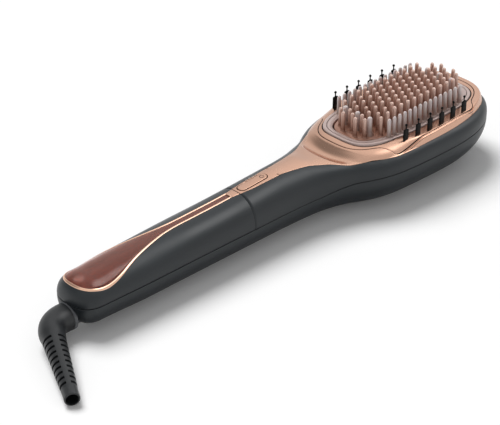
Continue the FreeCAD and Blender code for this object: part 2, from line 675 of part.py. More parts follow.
def bristle_strip(side):
    """Soft strip clipped under the pad rim: a bar with six flat bristles, each with a ball tip."""
    bar = block(-26.5, 29.1, side * 27.1 - 0.8, side * 27.1 + 0.8, FRAME_TOP - 1.6, FRAME_TOP - 0.1)
    pieces = []
    top = PLATE_Z - 2.0 + dim("bristle_height")
    for x, y in bristle_row(side):
        blade = [Vector(x - 1.3, y - 0.5, FRAME_TOP - 0.6), Vector(x + 1.3, y - 0.5, FRAME_TOP - 0.6),
                 Vector(x + 1.3, y - 0.5, top - 3.6), Vector(x + 0.5, y - 0.5, top - 2.9),
                 Vector(x - 0.5, y - 0.5, top - 2.9), Vector(x - 1.3, y - 0.5, top - 3.6)]
        pieces.append(Part.Face(Part.makePolygon(blade + blade[:1])).extrude(Vector(0, 1.0, 0)))
        pieces.append(peg(x, y, top - 3.2, 0.42, 2.2, 0.3, 6))
        pieces.append(peg(x, y, top - 1.5, 0.75, 1.5, 0.45))
    return bar.fuse(pieces)


feature("bristle_strip_left", bristle_strip(1))
feature("bristle_strip_right", bristle_strip(-1))


# ---------------------------------------------------------------- comb ring, pin plate, steam pins
def comb_tooth(x, y):
    """One blade of the comb: parallel sides, round top, and a foot that flares into the ring."""
    half, height, base = dim("tooth_length") / 2, dim("tooth_height"), PLATE_Z - 0.2
    front = y - dim("tooth_width") / 2
    shoulder = base + height - half

    right = [(half + 0.55, base), (half, base + 3), (half, shoulder)]
    right += [(half * math.cos(a), shoulder + half * math.sin(a)) for a in (math.radians(40), math.radians(75))]
    outline = right + [(-dx, level) for dx, level in reversed(right)]
    corners = [Vector(x + dx, front, level) for dx, level in outline]
    return Part.Face(Part.makePolygon(corners + corners[:1])).extrude(Vector(0, dim("tooth_width"), 0))


def comb_ring():
    """Insulating ring round the hot plate, with a row of cool comb teeth along each side."""
    band = prism(ring_wire(dim("ring_half_length"), dim("ring_half_width"), FRAME_TOP), PLATE_Z + 0.5 - FRAME_TOP)
    band = band.cut(prism(ring_wire(dim("ring_inner_length"), dim("ring_inner_width"), FRAME_TOP - 1), 10))
    teeth = []
    for k in range(int(dim("tooth_count"))):
        x = -29.0 + k * dim("tooth_pitch")
        teeth += [comb_tooth(x, dim("tooth_row_y")), comb_tooth(x, -dim("tooth_row_y"))]
    return band.fuse(teeth)


STEAM_PINS = [(-34.2, 9.4), (-34.2, -9.4), (-34.2, 0.0), (35.8, 9.4), (35.8, -9.4), (35.8, 0.0)]
PLATE_TOP = PLATE_Z - 0.4


def pin_spots():
    """Staggered plan grid of the heated pins, kept inside the plate's outline."""
    spots = []
    pitch, rows = dim("pin_pitch"), dim("row_pitch")
    for row in range(-3, 4):
        for k in range(-8, 9):
            x = 0.8 + (k + (0.5 if row % 2 else 0.0)) * pitch
            y = row * rows
            inside = (abs(x) / 43.4) ** 3.3 + (abs(y) / 16.6) ** 3.3 < 1.0
            clear = all(math.hypot(x - a, y - b) > 3.2 for a, b in STEAM_PINS)
            if inside and clear:
                spots.append((x, y))
    return spots


def pin_plate():
    """Die-cast hot plate with its field of pins."""
    plate = prism(ring_wire(dim("plate_half_length"), dim("plate_half_width"), FRAME_TOP), PLATE_TOP - FRAME_TOP)
    pins = [peg(x, y, PLATE_TOP - 0.3, dim("pin_radius"), dim("pin_height") + 0.3, 1.1) for x, y in pin_spots()]
    holes = [rod(1.7, 8.0, x, y, FRAME_TOP - 2, UP) for x, y in STEAM_PINS]
    return plate.fuse(pins).cut(holes)


def steam_pin(x, y):
    """Hollow pearl pin on a flared foot that lets steam out among the heated pins."""
    foot = Part.makeLoft([corner_ring(2.6, x, y, PLATE_TOP, 8), corner_ring(1.5, x, y, PLATE_TOP + 2.2, 8)], True, True)
    stem = facet_rod(1.6, PLATE_TOP + 0.4 - FRAME_TOP, x, y, FRAME_TOP)
    shape = stem.fuse([foot, peg(x, y, PLATE_TOP + 1.5, 1.5, 10.0, 1.2, 8)])
    return shape.cut(facet_rod(0.8, 9.0, x, y, FRAME_TOP - 1, 6))


feature("comb_ring", comb_ring())
feature("pin_plate", pin_plate())
feature("steam_pins", Part.makeCompound([steam_pin(x, y) for x, y in STEAM_PINS]))


# ---------------------------------------------------------------- head frame
FRAME_POSTS = [(sx * 15.0, sy * 20.5) for sx in (-1, 1) for sy in (-1, 1)]
CHAMBER_TOP = FRAME_TOP - dim("heater_thickness") - 0.6
CHAMBER_BASE = CHAMBER_TOP - dim("chamber_depth")
LID_BASE = CHAMBER_BASE - 0.8 - 2.0


def head_frame():
    """Heat-proof frame that carries ring, plate and insert, and takes the screws from below."""
    flange = prism(insert_wire(-1.5, 31.0), FRAME_TOP - 31.0)
    skirt = prism(ring_wire(46.0, 19.4, 21.0), 10.5)
    posts = [rod(3.4, 31.5 - BOSS_TOP - 0.1, x, y, BOSS_TOP + 0.1, UP) for x, y in HEAD_SCREWS]
    posts += [rod(2.6, 31.5 - LID_BASE, x, y, LID_BASE, UP) for x, y in FRAME_POSTS]
    frame = flange.fuse([skirt] + posts)
    heater_well = prism(ring_wire(43.6, 16.9, 10.0), 40)
    holes = [heater_well, rod(3.0, 6.0, -48.0, 0, CHAMBER_BASE + 4.5, FORWARD)]
    holes += [rod(SCREW_R + 0.05, 10.0, x, y, BOSS_TOP, UP) for x, y in HEAD_SCREWS]
    holes += [rod(0.9, 8.0, x, y, LID_BASE - 1, UP) for x, y in FRAME_POSTS]
    holes += [block(-26.8, 29.4, *span, FRAME_TOP - 1.7, FRAME_TOP + 1) for span in ((-35.1, -26.0), (26.0, 35.1))]
    return frame.cut(holes)


feature("head_frame", head_frame())


# ---------------------------------------------------------------- heater stack and steam chamber
HEATER_BASE = "Dims.plate_height - 4 - Dims.heater_thickness"
INSULATOR_BASE = f"{HEATER_BASE} - 0.6"
CHAMBER_LEVEL = f"{INSULATOR_BASE} - Dims.chamber_depth"
LID_LEVEL = f"{CHAMBER_LEVEL} - 0.8 - 2"

heaters = [box(f"ptc_{side}", "Dims.heater_length", "Dims.heater_width", "Dims.heater_thickness",
               f"{sign} * (Dims.heater_length / 2 + 0.4)", "0", HEATER_BASE)
           for side, sign in (("rear", -1), ("front", 1))]
node(group("heater_group", *heaters), "ptc_heaters")
node(box("insulator", "Dims.heater_length * 2 + 3", "Dims.heater_width + 2", "0.6", "0", "0", INSULATOR_BASE),
     "heater_insulator")

chamber = new_body("chamber")
outline = sketch(chamber, "chamber_outline", level=CHAMBER_LEVEL)
add_rectangle(outline, "Dims.chamber_length", "Dims.chamber_width")
pad(chamber, outline, "Dims.chamber_depth")
cavity = sketch(chamber, "chamber_cavity", level=f"{CHAMBER_LEVEL} + Dims.chamber_depth - 2")
add_rectangle(cavity, "Dims.chamber_length - 5", "Dims.chamber_width - 5")
doc.recompute()
pocket(chamber, cavity, "cavity_pocket", "Dims.chamber_depth")
barb = cylinder("chamber_barb", "1.6", "6", "-Dims.chamber_length / 2 + 1", "0", f"{CHAMBER_LEVEL} + 4.5", ALONG_MINUS_X)
barb_bore = cylinder("barb_bore", "0.9", "12", "-Dims.chamber_length / 2 + 4", "0", f"{CHAMBER_LEVEL} + 4.5",
                     ALONG_MINUS_X)
outlets = [cylinder(f"outlet_{k}", "1", "6", str(x), str(y), f"{INSULATOR_BASE} - 4")
           for k, (x, y) in enumerate(STEAM_PINS)]
node(cut("chamber_drilled", fuse("chamber_with_barb", chamber, barb), group("chamber_holes", barb_bore, *outlets)),
     "steam_chamber")

gasket = new_body("gasket")
outline = sketch(gasket, "gasket_outline", level=f"{CHAMBER_LEVEL} - 0.8")
add_rectangle(outline, "Dims.chamber_length", "Dims.chamber_width")
add_rectangle(outline, "Dims.chamber_length - 5", "Dims.chamber_width - 5")
pad(gasket, outline, "0.8")
node(gasket, "chamber_gasket")

lid = new_body("lid")
outline = sketch(lid, "lid_outline", level=LID_LEVEL)
add_rectangle(outline, "Dims.chamber_length", "Dims.chamber_width")
pad(lid, outline, "2")
node(lid, "chamber_lid")

straps, frame_screws = [], []
for k, (x, y) in enumerate(FRAME_POSTS):
    head = hexagon(f"frame_screw_head_{k}", "2", "1.5", str(x), str(y), f"{LID_LEVEL} - 2.5")
    shank = hexagon(f"frame_screw_shank_{k}", "0.85", "6", str(x), str(y), f"{LID_LEVEL} - 1")
    frame_screws.append(fuse(f"frame_screw_{k}", head, shank))
for k, x in enumerate((-15.0, 15.0)):
    strap = box(f"strap_{k}", "8", "47", "1", str(x), "0", f"{LID_LEVEL} - 1")
    drills = [cylinder(f"strap_hole_{k}_{j}", "0.95", "3", str(x), str(y), f"{LID_LEVEL} - 2")
              for j, y in enumerate((-20.5, 20.5))]
    straps.append(cut(f"strap_drilled_{k}", strap, group(f"strap_holes_{k}", *drills)))
node(group("strap_group", *straps), "heater_clamp")
node(group("frame_screw_group", *frame_screws), "frame_screws")

seals = []
for k, (x, y) in enumerate(STEAM_PINS):
    sleeve = hexagon(f"steam_seal_outer_{k}", "2.6", "Dims.heater_thickness + 0.6", str(x), str(y), INSULATOR_BASE)
    bore = hexagon(f"steam_seal_bore_{k}", "1.1", "6", str(x), str(y), f"{INSULATOR_BASE} - 1")
    seals.append(cut(f"steam_seal_{k}", sleeve, bore))
node(group("seal_group", *seals), "steam_seals")

node(cylinder("fuse_can", "1.8", "11", "-5.5", "Dims.chamber_width / 2 + 1.8", f"{CHAMBER_LEVEL} + 4.5", ALONG_X),
     "thermal_fuse")
node(box("sensor_bead", "5", "2.4", "3", "0", "-Dims.chamber_width / 2 - 1.2", f"{CHAMBER_LEVEL} + 3"),
     "temperature_sensor")

# ---------------------------------------------------------------- pump and hoses
HOSE_Y = 2.8
pump = cylinder("pump_can", "Dims.pump_radius", "Dims.pump_length", "Dims.pump_x - Dims.pump_length / 2", "0",
                "Dims.pump_level", ALONG_X)
inlet = cylinder("pump_inlet", "1.6", "5", "Dims.pump_x - Dims.pump_length / 2 + 1", str(HOSE_Y), "Dims.pump_level",
                 ALONG_MINUS_X)
outlet = cylinder("pump_outlet", "1.6", "5", "Dims.pump_x + Dims.pump_length / 2 - 1", "0", "Dims.pump_level", ALONG_X)
node(fuse("pump_joined", pump, inlet, outlet), "pump_body")

PUMP_REAR, PUMP_FRONT = PUMP_X - dim("pump_length") / 2, PUMP_X + dim("pump_length") / 2
CHAMBER_REAR = -dim("chamber_length") / 2
DOCK_X = SEAM_FRONT + 4.6
feature("inlet_hose", hose([Vector(DOCK_X, HOSE_Y, 19.5), Vector(DOCK_X, HOSE_Y, PUMP_Z),
                            Vector(PUMP_REAR - 0.1, HOSE_Y, PUMP_Z)], 2.5, 1.8, 5.0))
feature("outlet_hose", hose([Vector(PUMP_FRONT + 0.1, 0, PUMP_Z), Vector(-54, 0, PUMP_Z),
                             Vector(-51, 0, CHAMBER_BASE + 4.5), Vector(CHAMBER_REAR - 0.1, 0, CHAMBER_BASE + 4.5)],
                            2.5, 1.8, 5.0))


# ---------------------------------------------------------------- water dock behind the bulkhead
def dock_socket():
    """Blind socket that the tank's spout plugs into, with a nipple for the pump hose."""
    front = SEAM_FRONT + 2.8
    body = rod(4.6, 4.6, front, 0, SPOUT_Z, FORWARD).fuse([rod(5.2, 1.0, front, 0, SPOUT_Z, FORWARD),
                                                           rod(1.6, 4.9, DOCK_X, HOSE_Y, 17.4, UP)])
    return body.cut([rod(3.3, 3.5, front, 0, SPOUT_Z, FORWARD), rod(0.9, 9.0, DOCK_X - 0.6, HOSE_Y, 15.0, UP)])


feature("dock_socket", dock_socket())
seal_outer = cylinder("dock_seal_outer", "5.2", "0.8", "Dims.seam_x + Dims.seam_gap / 2 + 2", "0", "Dims.spout_height",
                      ALONG_X)
seal_bore = cylinder("dock_seal_bore", "3.7", "3", "Dims.seam_x + Dims.seam_gap / 2 + 1", "0", "Dims.spout_height",
                     ALONG_X)
node(cut("dock_seal_ring", seal_outer, seal_bore), "dock_seal")

# ---------------------------------------------------------------- control electronics and button
BOARD_TOP = "Dims.board_height + Dims.board_thickness"
board = new_body("board")
outline = sketch(board, "board_outline", level="Dims.board_height")
add_rectangle(outline, "Dims.board_length", "Dims.board_width")
pad(board, outline, "Dims.board_thickness")
doc.recompute()
drilling = sketch(board, "board_drilling", level="Dims.board_height")
add_circle(drilling, "4", f"{HANDLE_SCREW[0]} - Dims.board_x", str(HANDLE_SCREW[1]))
for x, y in BOARD_SCREWS:
    add_circle(drilling, "1", f"{x} - Dims.board_x", str(y))
pocket(board, drilling, "board_holes")
place(board, "Dims.board_x")
node(board, "control_board")

switch_can = box("switch_can", "6", "6", "2.2", "Dims.button_x", "0", BOARD_TOP)
switch_well = cylinder("switch_well", "1.8", "3", "Dims.button_x", "0", f"{BOARD_TOP} + 0.2")
node(cut("switch_hollow", switch_can, switch_well), "tact_switch")
node(cylinder("plunger", "1.6", "2.3", "Dims.button_x", "0", f"{BOARD_TOP} + 1.1"), "switch_plunger")
leds = [box(f"led_{k}", "1.4", "0.8", "0.8", str(x), str(GUIDE_Y), BOARD_TOP) for k, x in enumerate(GUIDE_X)]
node(group("led_group", *leds), "status_leds")


def push_button():
    """Long pill-shaped key, flush with the handle strip, with two T-hooks that hold it under the deck."""
    raised = outer.translated(Vector(0, 0, 0.15))
    base = BOARD_Z + 5.3
    cap = stadium(dim("button_length"), dim("button_width"), BUTTON_X, 0, base, 8).common(raised)
    hooks = [rod(1.6, 1.0, BUTTON_X, 0, base - 0.3, UP)]
    for x in (BUTTON_X - 6.4, BUTTON_X + 8.6):
        hooks += [block(x - 1, x + 1, -1.5, 1.5, base - 1.5, base + 0.5),
                  block(x - 1, x + 1, -3.6, 3.6, base - 2.0, base - 1.2)]
    return cap.fuse(hooks)


def light_guide():
    """Clear bar over the lamps with four prongs that end flush in the strip."""
    first, last = GUIDE_X[0] - 1.0, GUIDE_X[-1] + 1.0
    bar = block(first, last, GUIDE_Y - 0.35, GUIDE_Y + 0.35, BOARD_Z + 2.6, BOARD_Z + 3.9)
    prongs = [block(x - 0.7, x + 0.7, GUIDE_Y - 0.28, GUIDE_Y + 0.28, BOARD_Z + 3.5, 45).common(outer) for x in GUIDE_X]
    return bar.fuse(prongs)


feature("push_button", push_button())
feature("light_guide", light_guide())

power = new_body("power")
outline = sketch(power, "power_outline", level="10")
add_rectangle(outline, "Dims.power_length", "17")
pad(power, outline, "Dims.board_thickness")
doc.recompute()
drilling = sketch(power, "power_drilling", level="10")
for x, y in POWER_POSTS:
    add_circle(drilling, "1", f"{x} - Dims.power_x", "0")
pocket(power, drilling, "power_holes")
place(power, "Dims.power_x")
node(power, "power_board")
node(box("terminals", "8", "14", "4.8", "Dims.power_x - 13", "0", "10 + Dims.board_thickness"), "terminal_block")
node(box("capacitor", "13", "6", "5", "Dims.power_x + 10", "0", "10 + Dims.board_thickness"), "filter_capacitor")


# ---------------------------------------------------------------- screws
def screw(x, y, seat, top, radius, head_radius, head_height):
    """Pan-head screw driven upwards: the head's inner face is at seat, the tip at top."""
    head = facet_rod(head_radius, head_height, x, y, seat - head_height)
    return head.fuse(facet_rod(radius, top - seat + 0.1, x, y, seat - 0.1))


shell_screws = [screw(x, y, HEAD_SEAT, 23.5, SCREW_R, SCREW_HEAD_R, 1.8) for x, y in HEAD_SCREWS]
shell_screws.append(screw(*HANDLE_SCREW, HANDLE_SEAT, 25.5, SCREW_R, SCREW_HEAD_R, 1.8))
feature("shell_screws", Part.makeCompound(shell_screws))
feature("tray_screw", screw(*TRAY_SCREW, HANDLE_SEAT, 20.0, SCREW_R, SCREW_HEAD_R, 1.8))
feature("board_screws", Part.makeCompound([screw(x, y, BOARD_Z, 32.6, 0.75, 1.9, 1.4) for x, y in BOARD_SCREWS]))
power_screws = []
for x, y in POWER_POSTS:
    head = facet_rod(1.9, 1.4, x, y, 11.6)
    power_screws.append(head.fuse(facet_rod(0.75, 5.3, x, y, 6.4)))
feature("power_screws", Part.makeCompound(power_screws))

# ---------------------------------------------------------------- water tank
# Half widths of the window, from the slot at the seam to the rounded tail end.
WINDOW_EDGE = [(-135.0, 2.9), (-160.0, 2.9), (-180.0, 3.0), (-189.0, 4.5), (-198.0, 7.0), (-208.0, 9.7), (-218.0, 12.0),
               (-227.0, 13.3), (-234.5, 13.3), (-241.0, 11.0), (-245.0, 6.4), (-246.2, 0.0)]


def window_wire(grow, z):
    """Keyhole-shaped outline: a slot near the seam that widens to a round end at the tail."""
    edge = []
    for k, (x, y) in enumerate(WINDOW_EDGE[:-1]):
        before, after = WINDOW_EDGE[max(k - 1, 0)], WINDOW_EDGE[k + 1]
        along = Vector(after[0] - before[0], after[1] - before[1], 0).normalize()
        edge.append(Vector(x + along.y * grow, y - along.x * grow, z))
    edge[0].x = WINDOW_EDGE[0][0] + grow
    edge.append(Vector(WINDOW_EDGE[-1][0] - grow, 0, z))
    mirrored = [Vector(p.x, -p.y, z) for p in reversed(edge[:-1])]
    curve = Part.BSplineCurve()
    curve.interpolate(edge + mirrored)
    return Part.Wire([curve.toShape(), Part.LineSegment(mirrored[-1], edge[0]).toShape()])


TRIM = dim("trim_width")
TANK_WALL = dim("tank_wall")
VESSEL = COVER + 0.1
VESSEL_FRONT = SEAM_BACK - 0.3
tank_space = block(-270, SEAM_BACK, -40, 40, TANK_FLOOR, 60)
cover_space = block(-270, SEAM_BACK, -40, 40, PARTING + dim("fit_gap"), 60)
vessel_space = block(-270, VESSEL_FRONT, -40, 40, TANK_FLOOR, 60)
vessel_form = body_form(VESSEL)
FLOOR_TOP = TANK_FLOOR + 2.1


def tank_cover():
    """Soft-touch shroud over the water vessel, open at the seam and cut out for the window."""
    hollow = body_form(COVER).common(block(-270, -100, -40, 40, TRAY_TOP, 60))
    over_deck = prism(level_outline(SKIRT, SEAM_BACK + 1, TRAY_TOP, PARTING - 1), TANK_FLOOR - PARTING + 1)
    return outer.cut(hollow).cut(over_deck).common(cover_space).cut(prism(window_wire(0.0, 15), 40))


def tank_reservoir():
    """Smoked clear water vessel, open below, with the window raised flush with the shroud."""
    inside = body_form(VESSEL + TANK_WALL).common(block(-270, VESSEL_FRONT - TANK_WALL, -40, 40, 0, 60))
    vessel = vessel_form.cut(inside).common(vessel_space).cut(block(-270, 0, -40, 40, 0, FLOOR_TOP))
    lens = outer.common(vessel_space).common(prism(window_wire(-TRIM - 0.05, FLOOR_TOP), 40)).cut(body_form(VESSEL + 0.4))
    return vessel.fuse(lens).cut(rod(2.92, 8, VESSEL_FRONT - 5, 0, SPOUT_Z, FORWARD))


def window_trim():
    """Rose gold rim between the window and the shroud."""
    band = prism(window_wire(-0.08, 15), 40).cut(prism(window_wire(-TRIM, 14), 42))
    return band.common(outer.common(tank_space)).cut(vessel_form)


PLUG_X = -236.3


def tank_floor():
    """Bottom of the vessel, with the channel that takes the tray's rail and the filler hole."""
    slab = prism(level_outline(VESSEL, VESSEL_FRONT, FLOOR_TOP, TANK_FLOOR), FLOOR_TOP - TANK_FLOOR)
    spine = block(RAIL_FROM - 1.8, -134.5, -5.6, 5.6, FLOOR_TOP - 0.5, RAIL_TOP + 1.2)
    channel = block(RAIL_FROM - 0.4, -120, -4.3, 4.3, TANK_FLOOR - 1, RAIL_TOP + 0.3)
    holes = [channel, rod(3.4, 6, PLUG_X, 0, TANK_FLOOR - 1, UP), rod(4.6, 1.9, PLUG_X, 0, TANK_FLOOR - 1, UP)]
    return slab.fuse(spine).cut(holes)


feature("tank_cover", tank_cover())
feature("tank_reservoir", tank_reservoir())
feature("window_trim", window_trim())
feature("tank_floor", tank_floor())
plug_flange = cylinder("plug_flange", "4.5", "0.85", str(PLUG_X), "0", str(TANK_FLOOR + 0.05))
plug_stem = cylinder("plug_stem", "3.35", "2.6", str(PLUG_X), "0", str(TANK_FLOOR + 0.6))
node(fuse("plug_joined", plug_flange, plug_stem), "filler_plug")


def valve_spout():
    """Sleeve that carries water out of the tank, with a seal groove near its tip."""
    sleeve = rod(2.9, 9.0, VESSEL_FRONT - 2.6, 0, SPOUT_Z, FORWARD)
    tip = VESSEL_FRONT + 6.4
    groove = rod(4.0, 1.1, tip - 2.4, 0, SPOUT_Z, FORWARD).cut(rod(2.3, 1.1, tip - 2.4, 0, SPOUT_Z, FORWARD))
    return sleeve.cut([groove, rod(1.5, 12, VESSEL_FRONT - 3, 0, SPOUT_Z, FORWARD)])


feature("valve_spout", valve_spout())
seal = rod(3.22, 0.9, VESSEL_FRONT + 4.1, 0, SPOUT_Z, FORWARD).cut(rod(2.35, 0.9, VESSEL_FRONT + 4.1, 0, SPOUT_Z, FORWARD))
feature("valve_seal", seal)
valve = cylinder("valve_body", "1.45", "3", str(VESSEL_FRONT - 1), "0", "Dims.spout_height", ALONG_X)
slit = box("valve_slit", "6", "2", "0.3", str(VESSEL_FRONT), "0", "Dims.spout_height - 0.15")
node(cut("valve_slotted", valve, slit), "tank_valve")


# ---------------------------------------------------------------- swivelling cord elbow
ELBOW = Vector(dim("elbow_x"), 0, SWIVEL_Z)
BOOT_END_R, BOOT_ROOT_R = dim("boot_end_radius"), dim("boot_root_radius")
BOOT_LENGTH = dim("boot_length")
BOOT_DROP = SWIVEL_Z - BOOT_END_R - 0.05
BOOT_WAY = Vector(-0.4645, -0.8796, -BOOT_DROP / BOOT_LENGTH).normalize()
FLANGE_X = COLLAR_X - 0.3


def swivel_core():
    """Hollow spigot that turns in the collar, with a flange outside and a clip groove inside."""
    spigot = rod(dim("spigot_radius"), 10.6, FLANGE_X, 0, SWIVEL_Z, FORWARD)
    flange = rod(dim("stub_radius"), 1.9, FLANGE_X, 0, SWIVEL_Z, BACK)
    groove = rod(9.0, 1.3, COLLAR_X + 7.9, 0, SWIVEL_Z, FORWARD).cut(rod(5.0, 1.3, COLLAR_X + 7.9, 0, SWIVEL_Z, FORWARD))
    return spigot.fuse(flange).cut([groove, rod(BORE_R, 20, FLANGE_X - 4, 0, SWIVEL_Z, FORWARD)])


def strain_relief():
    """Rubber elbow and tapered boot in one moulding, slotted on both sides so that it bends."""
    stub_r = dim("stub_radius")
    face = FLANGE_X - 1.9
    stub = rod(stub_r, face - ELBOW.x, ELBOW.x, 0, SWIVEL_Z, FORWARD)
    knuckle = Part.makeSphere(stub_r, ELBOW)
    taper_from = dim("first_slot") - 3.0
    collar_from = BOOT_LENGTH - 8.0
    root = Part.makeCylinder(BOOT_ROOT_R, taper_from, ELBOW, BOOT_WAY)
    taper = Part.makeCone(BOOT_ROOT_R, BOOT_END_R, collar_from - taper_from, ELBOW + BOOT_WAY * taper_from, BOOT_WAY)
    tail = Part.makeCylinder(BOOT_END_R, 8.0, ELBOW + BOOT_WAY * collar_from, BOOT_WAY)
    side = BOOT_WAY.cross(UP).normalize()
    slots = []
    for k in range(int(dim("slot_count"))):
        start = dim("first_slot") + k * dim("slot_pitch")
        inner = BORE_R + 0.25
        cutter = Part.makeBox(dim("slot_width"), 12.0, 5.6, Vector(0, inner, -2.8))
        for way in (side, -side):
            turned = cutter.copy()
            across = way.cross(BOOT_WAY)
            turned.Placement = Placement(ELBOW + BOOT_WAY * start, Rotation(BOOT_WAY, way, -across, "XYZ"))
            slots.append(turned)
    bores = [rod(BORE_R, 30, ELBOW.x - 1.5, 0, SWIVEL_Z, FORWARD), Part.makeCylinder(BORE_R, 90, ELBOW, BOOT_WAY),
             Part.makeSphere(BORE_R, ELBOW)]
    return stub.fuse([knuckle, root, taper, tail]).cut(bores + slots)


feature("swivel_core", swivel_core())
feature("strain_relief", strain_relief())
clip = rod(7.6, 0.9, COLLAR_X + 8.1, 0, SWIVEL_Z, FORWARD).cut(
    [rod(5.05, 0.9, COLLAR_X + 8.1, 0, SWIVEL_Z, FORWARD), block(-260, -220, -3, 3, SWIVEL_Z, SWIVEL_Z + 12)])
feature("retaining_clip", clip)
washer_outer = cylinder("washer_outer", "7.6", "0.7", "Dims.collar_x + 7.05", "0", "Dims.swivel_height", ALONG_X)
washer_bore = cylinder("washer_bore", "6.05", "3", "Dims.collar_x + 6", "0", "Dims.swivel_height", ALONG_X)
node(cut("washer_ring", washer_outer, washer_bore), "swivel_washer")

# ---------------------------------------------------------------- check and write
doc.recompute()
for thing in doc.Objects:
    if "Invalid" in thing.State or "Error" in thing.State:
        raise RuntimeError(f"{thing.Label} failed to build: {thing.State}")
for thing in nodes:
    if thing.Shape.isNull() or not thing.Shape.isValid():
        raise RuntimeError(f"{thing.Label} has no valid shape")

os.makedirs("parts", exist_ok=True)
for thing in nodes:
    thing.Shape.exportStep(f"parts/{thing.Label}.step")
print(f"{len(nodes)} sub-parts written")
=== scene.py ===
import math
import json
import bmesh
import bpy
from mathutils import Matrix, Vector


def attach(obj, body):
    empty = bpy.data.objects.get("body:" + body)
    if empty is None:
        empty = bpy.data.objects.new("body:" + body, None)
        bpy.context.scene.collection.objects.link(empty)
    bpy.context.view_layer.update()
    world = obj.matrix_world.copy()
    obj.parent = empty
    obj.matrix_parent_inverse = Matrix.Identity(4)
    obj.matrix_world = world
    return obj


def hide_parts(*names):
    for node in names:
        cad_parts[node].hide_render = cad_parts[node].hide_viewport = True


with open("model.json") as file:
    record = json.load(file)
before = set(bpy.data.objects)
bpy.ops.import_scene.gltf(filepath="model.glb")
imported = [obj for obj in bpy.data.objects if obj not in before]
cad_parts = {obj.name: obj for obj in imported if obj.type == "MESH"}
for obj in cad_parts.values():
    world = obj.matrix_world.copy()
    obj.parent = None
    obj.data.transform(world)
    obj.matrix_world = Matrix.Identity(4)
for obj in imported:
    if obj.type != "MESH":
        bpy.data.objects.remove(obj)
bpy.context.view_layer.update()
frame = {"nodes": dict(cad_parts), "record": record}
print("frame loaded:", len(frame["nodes"]), "nodes")

# everything below is worked out in millimetres and written to the meshes in metres
mm = 0.001


def srgb(r, g, b):
    def linear(c):
        c = c / 255
        return c / 12.92 if c <= 0.04045 else ((c + 0.055) / 1.055) ** 2.4
    return (linear(r), linear(g), linear(b), 1.0)


def newGroup(name, inputs, outputs):
    group = bpy.data.node_groups.new(name, "ShaderNodeTree")
    for label, kind, value in inputs:
        socket = group.interface.new_socket(name=label, in_out="INPUT", socket_type=kind)
        socket.default_value = value
    for label, kind in outputs:
        group.interface.new_socket(name=label, in_out="OUTPUT", socket_type=kind)
    return group, group.nodes.new("NodeGroupInput"), group.nodes.new("NodeGroupOutput")


def mouldedGrainGroup():
    # fine pebbled grain of a moulding, with slow patches of more and less polish
    group, inlet, outlet = newGroup("mouldedGrain", [
        ("Grain Size", "NodeSocketFloat", 2500.0), ("Patch Size", "NodeSocketFloat", 28.0),
        ("Rough Low", "NodeSocketFloat", 0.4), ("Rough High", "NodeSocketFloat", 0.55)],
        [("Height", "NodeSocketFloat"), ("Roughness", "NodeSocketFloat"), ("Patches", "NodeSocketFloat")])
    link = group.links.new
    place = group.nodes.new("ShaderNodeTexCoord")
    grain = group.nodes.new("ShaderNodeTexNoise")
    grain.inputs["Detail"].default_value = 3.0
    patches = group.nodes.new("ShaderNodeTexNoise")
    patches.inputs["Detail"].default_value = 4.0
    spread = group.nodes.new("ShaderNodeMapRange")
    link(place.outputs["Object"], grain.inputs["Vector"])
    link(place.outputs["Object"], patches.inputs["Vector"])
    link(inlet.outputs["Grain Size"], grain.inputs["Scale"])
    link(inlet.outputs["Patch Size"], patches.inputs["Scale"])
    link(patches.outputs["Fac"], spread.inputs["Value"])
    spread.inputs["From Min"].default_value = 0.35
    spread.inputs["From Max"].default_value = 0.65
    link(inlet.outputs["Rough Low"], spread.inputs["To Min"])
    link(inlet.outputs["Rough High"], spread.inputs["To Max"])
    link(grain.outputs["Fac"], outlet.inputs["Height"])
    link(spread.outputs["Result"], outlet.inputs["Roughness"])
    link(patches.outputs["Fac"], outlet.inputs["Patches"])
    return group


def rubMarksGroup():
    # hairline handling marks: thin stretched noise, brightest where it crosses a threshold
    group, inlet, outlet = newGroup("rubMarks", [
        ("Mark Size", "NodeSocketFloat", 420.0), ("Amount", "NodeSocketFloat", 0.1)],
        [("Marks", "NodeSocketFloat")])
    link = group.links.new
    place = group.nodes.new("ShaderNodeTexCoord")
    turn = group.nodes.new("ShaderNodeMapping")
    turn.inputs["Rotation"].default_value = (0.0, 0.0, 0.35)
    turn.inputs["Scale"].default_value = (0.12, 1.0, 1.0)
    noise = group.nodes.new("ShaderNodeTexNoise")
    noise.inputs["Detail"].default_value = 5.0
    pick = group.nodes.new("ShaderNodeMapRange")
    pick.inputs["From Min"].default_value = 0.58
    pick.inputs["From Max"].default_value = 0.7
    link(place.outputs["Object"], turn.inputs["Vector"])
    link(turn.outputs["Vector"], noise.inputs["Vector"])
    link(inlet.outputs["Mark Size"], noise.inputs["Scale"])
    link(noise.outputs["Fac"], pick.inputs["Value"])
    link(inlet.outputs["Amount"], pick.inputs["To Max"])
    link(pick.outputs["Result"], outlet.inputs["Marks"])
    return group


grainGroup = mouldedGrainGroup()
rubGroup = rubMarksGroup()


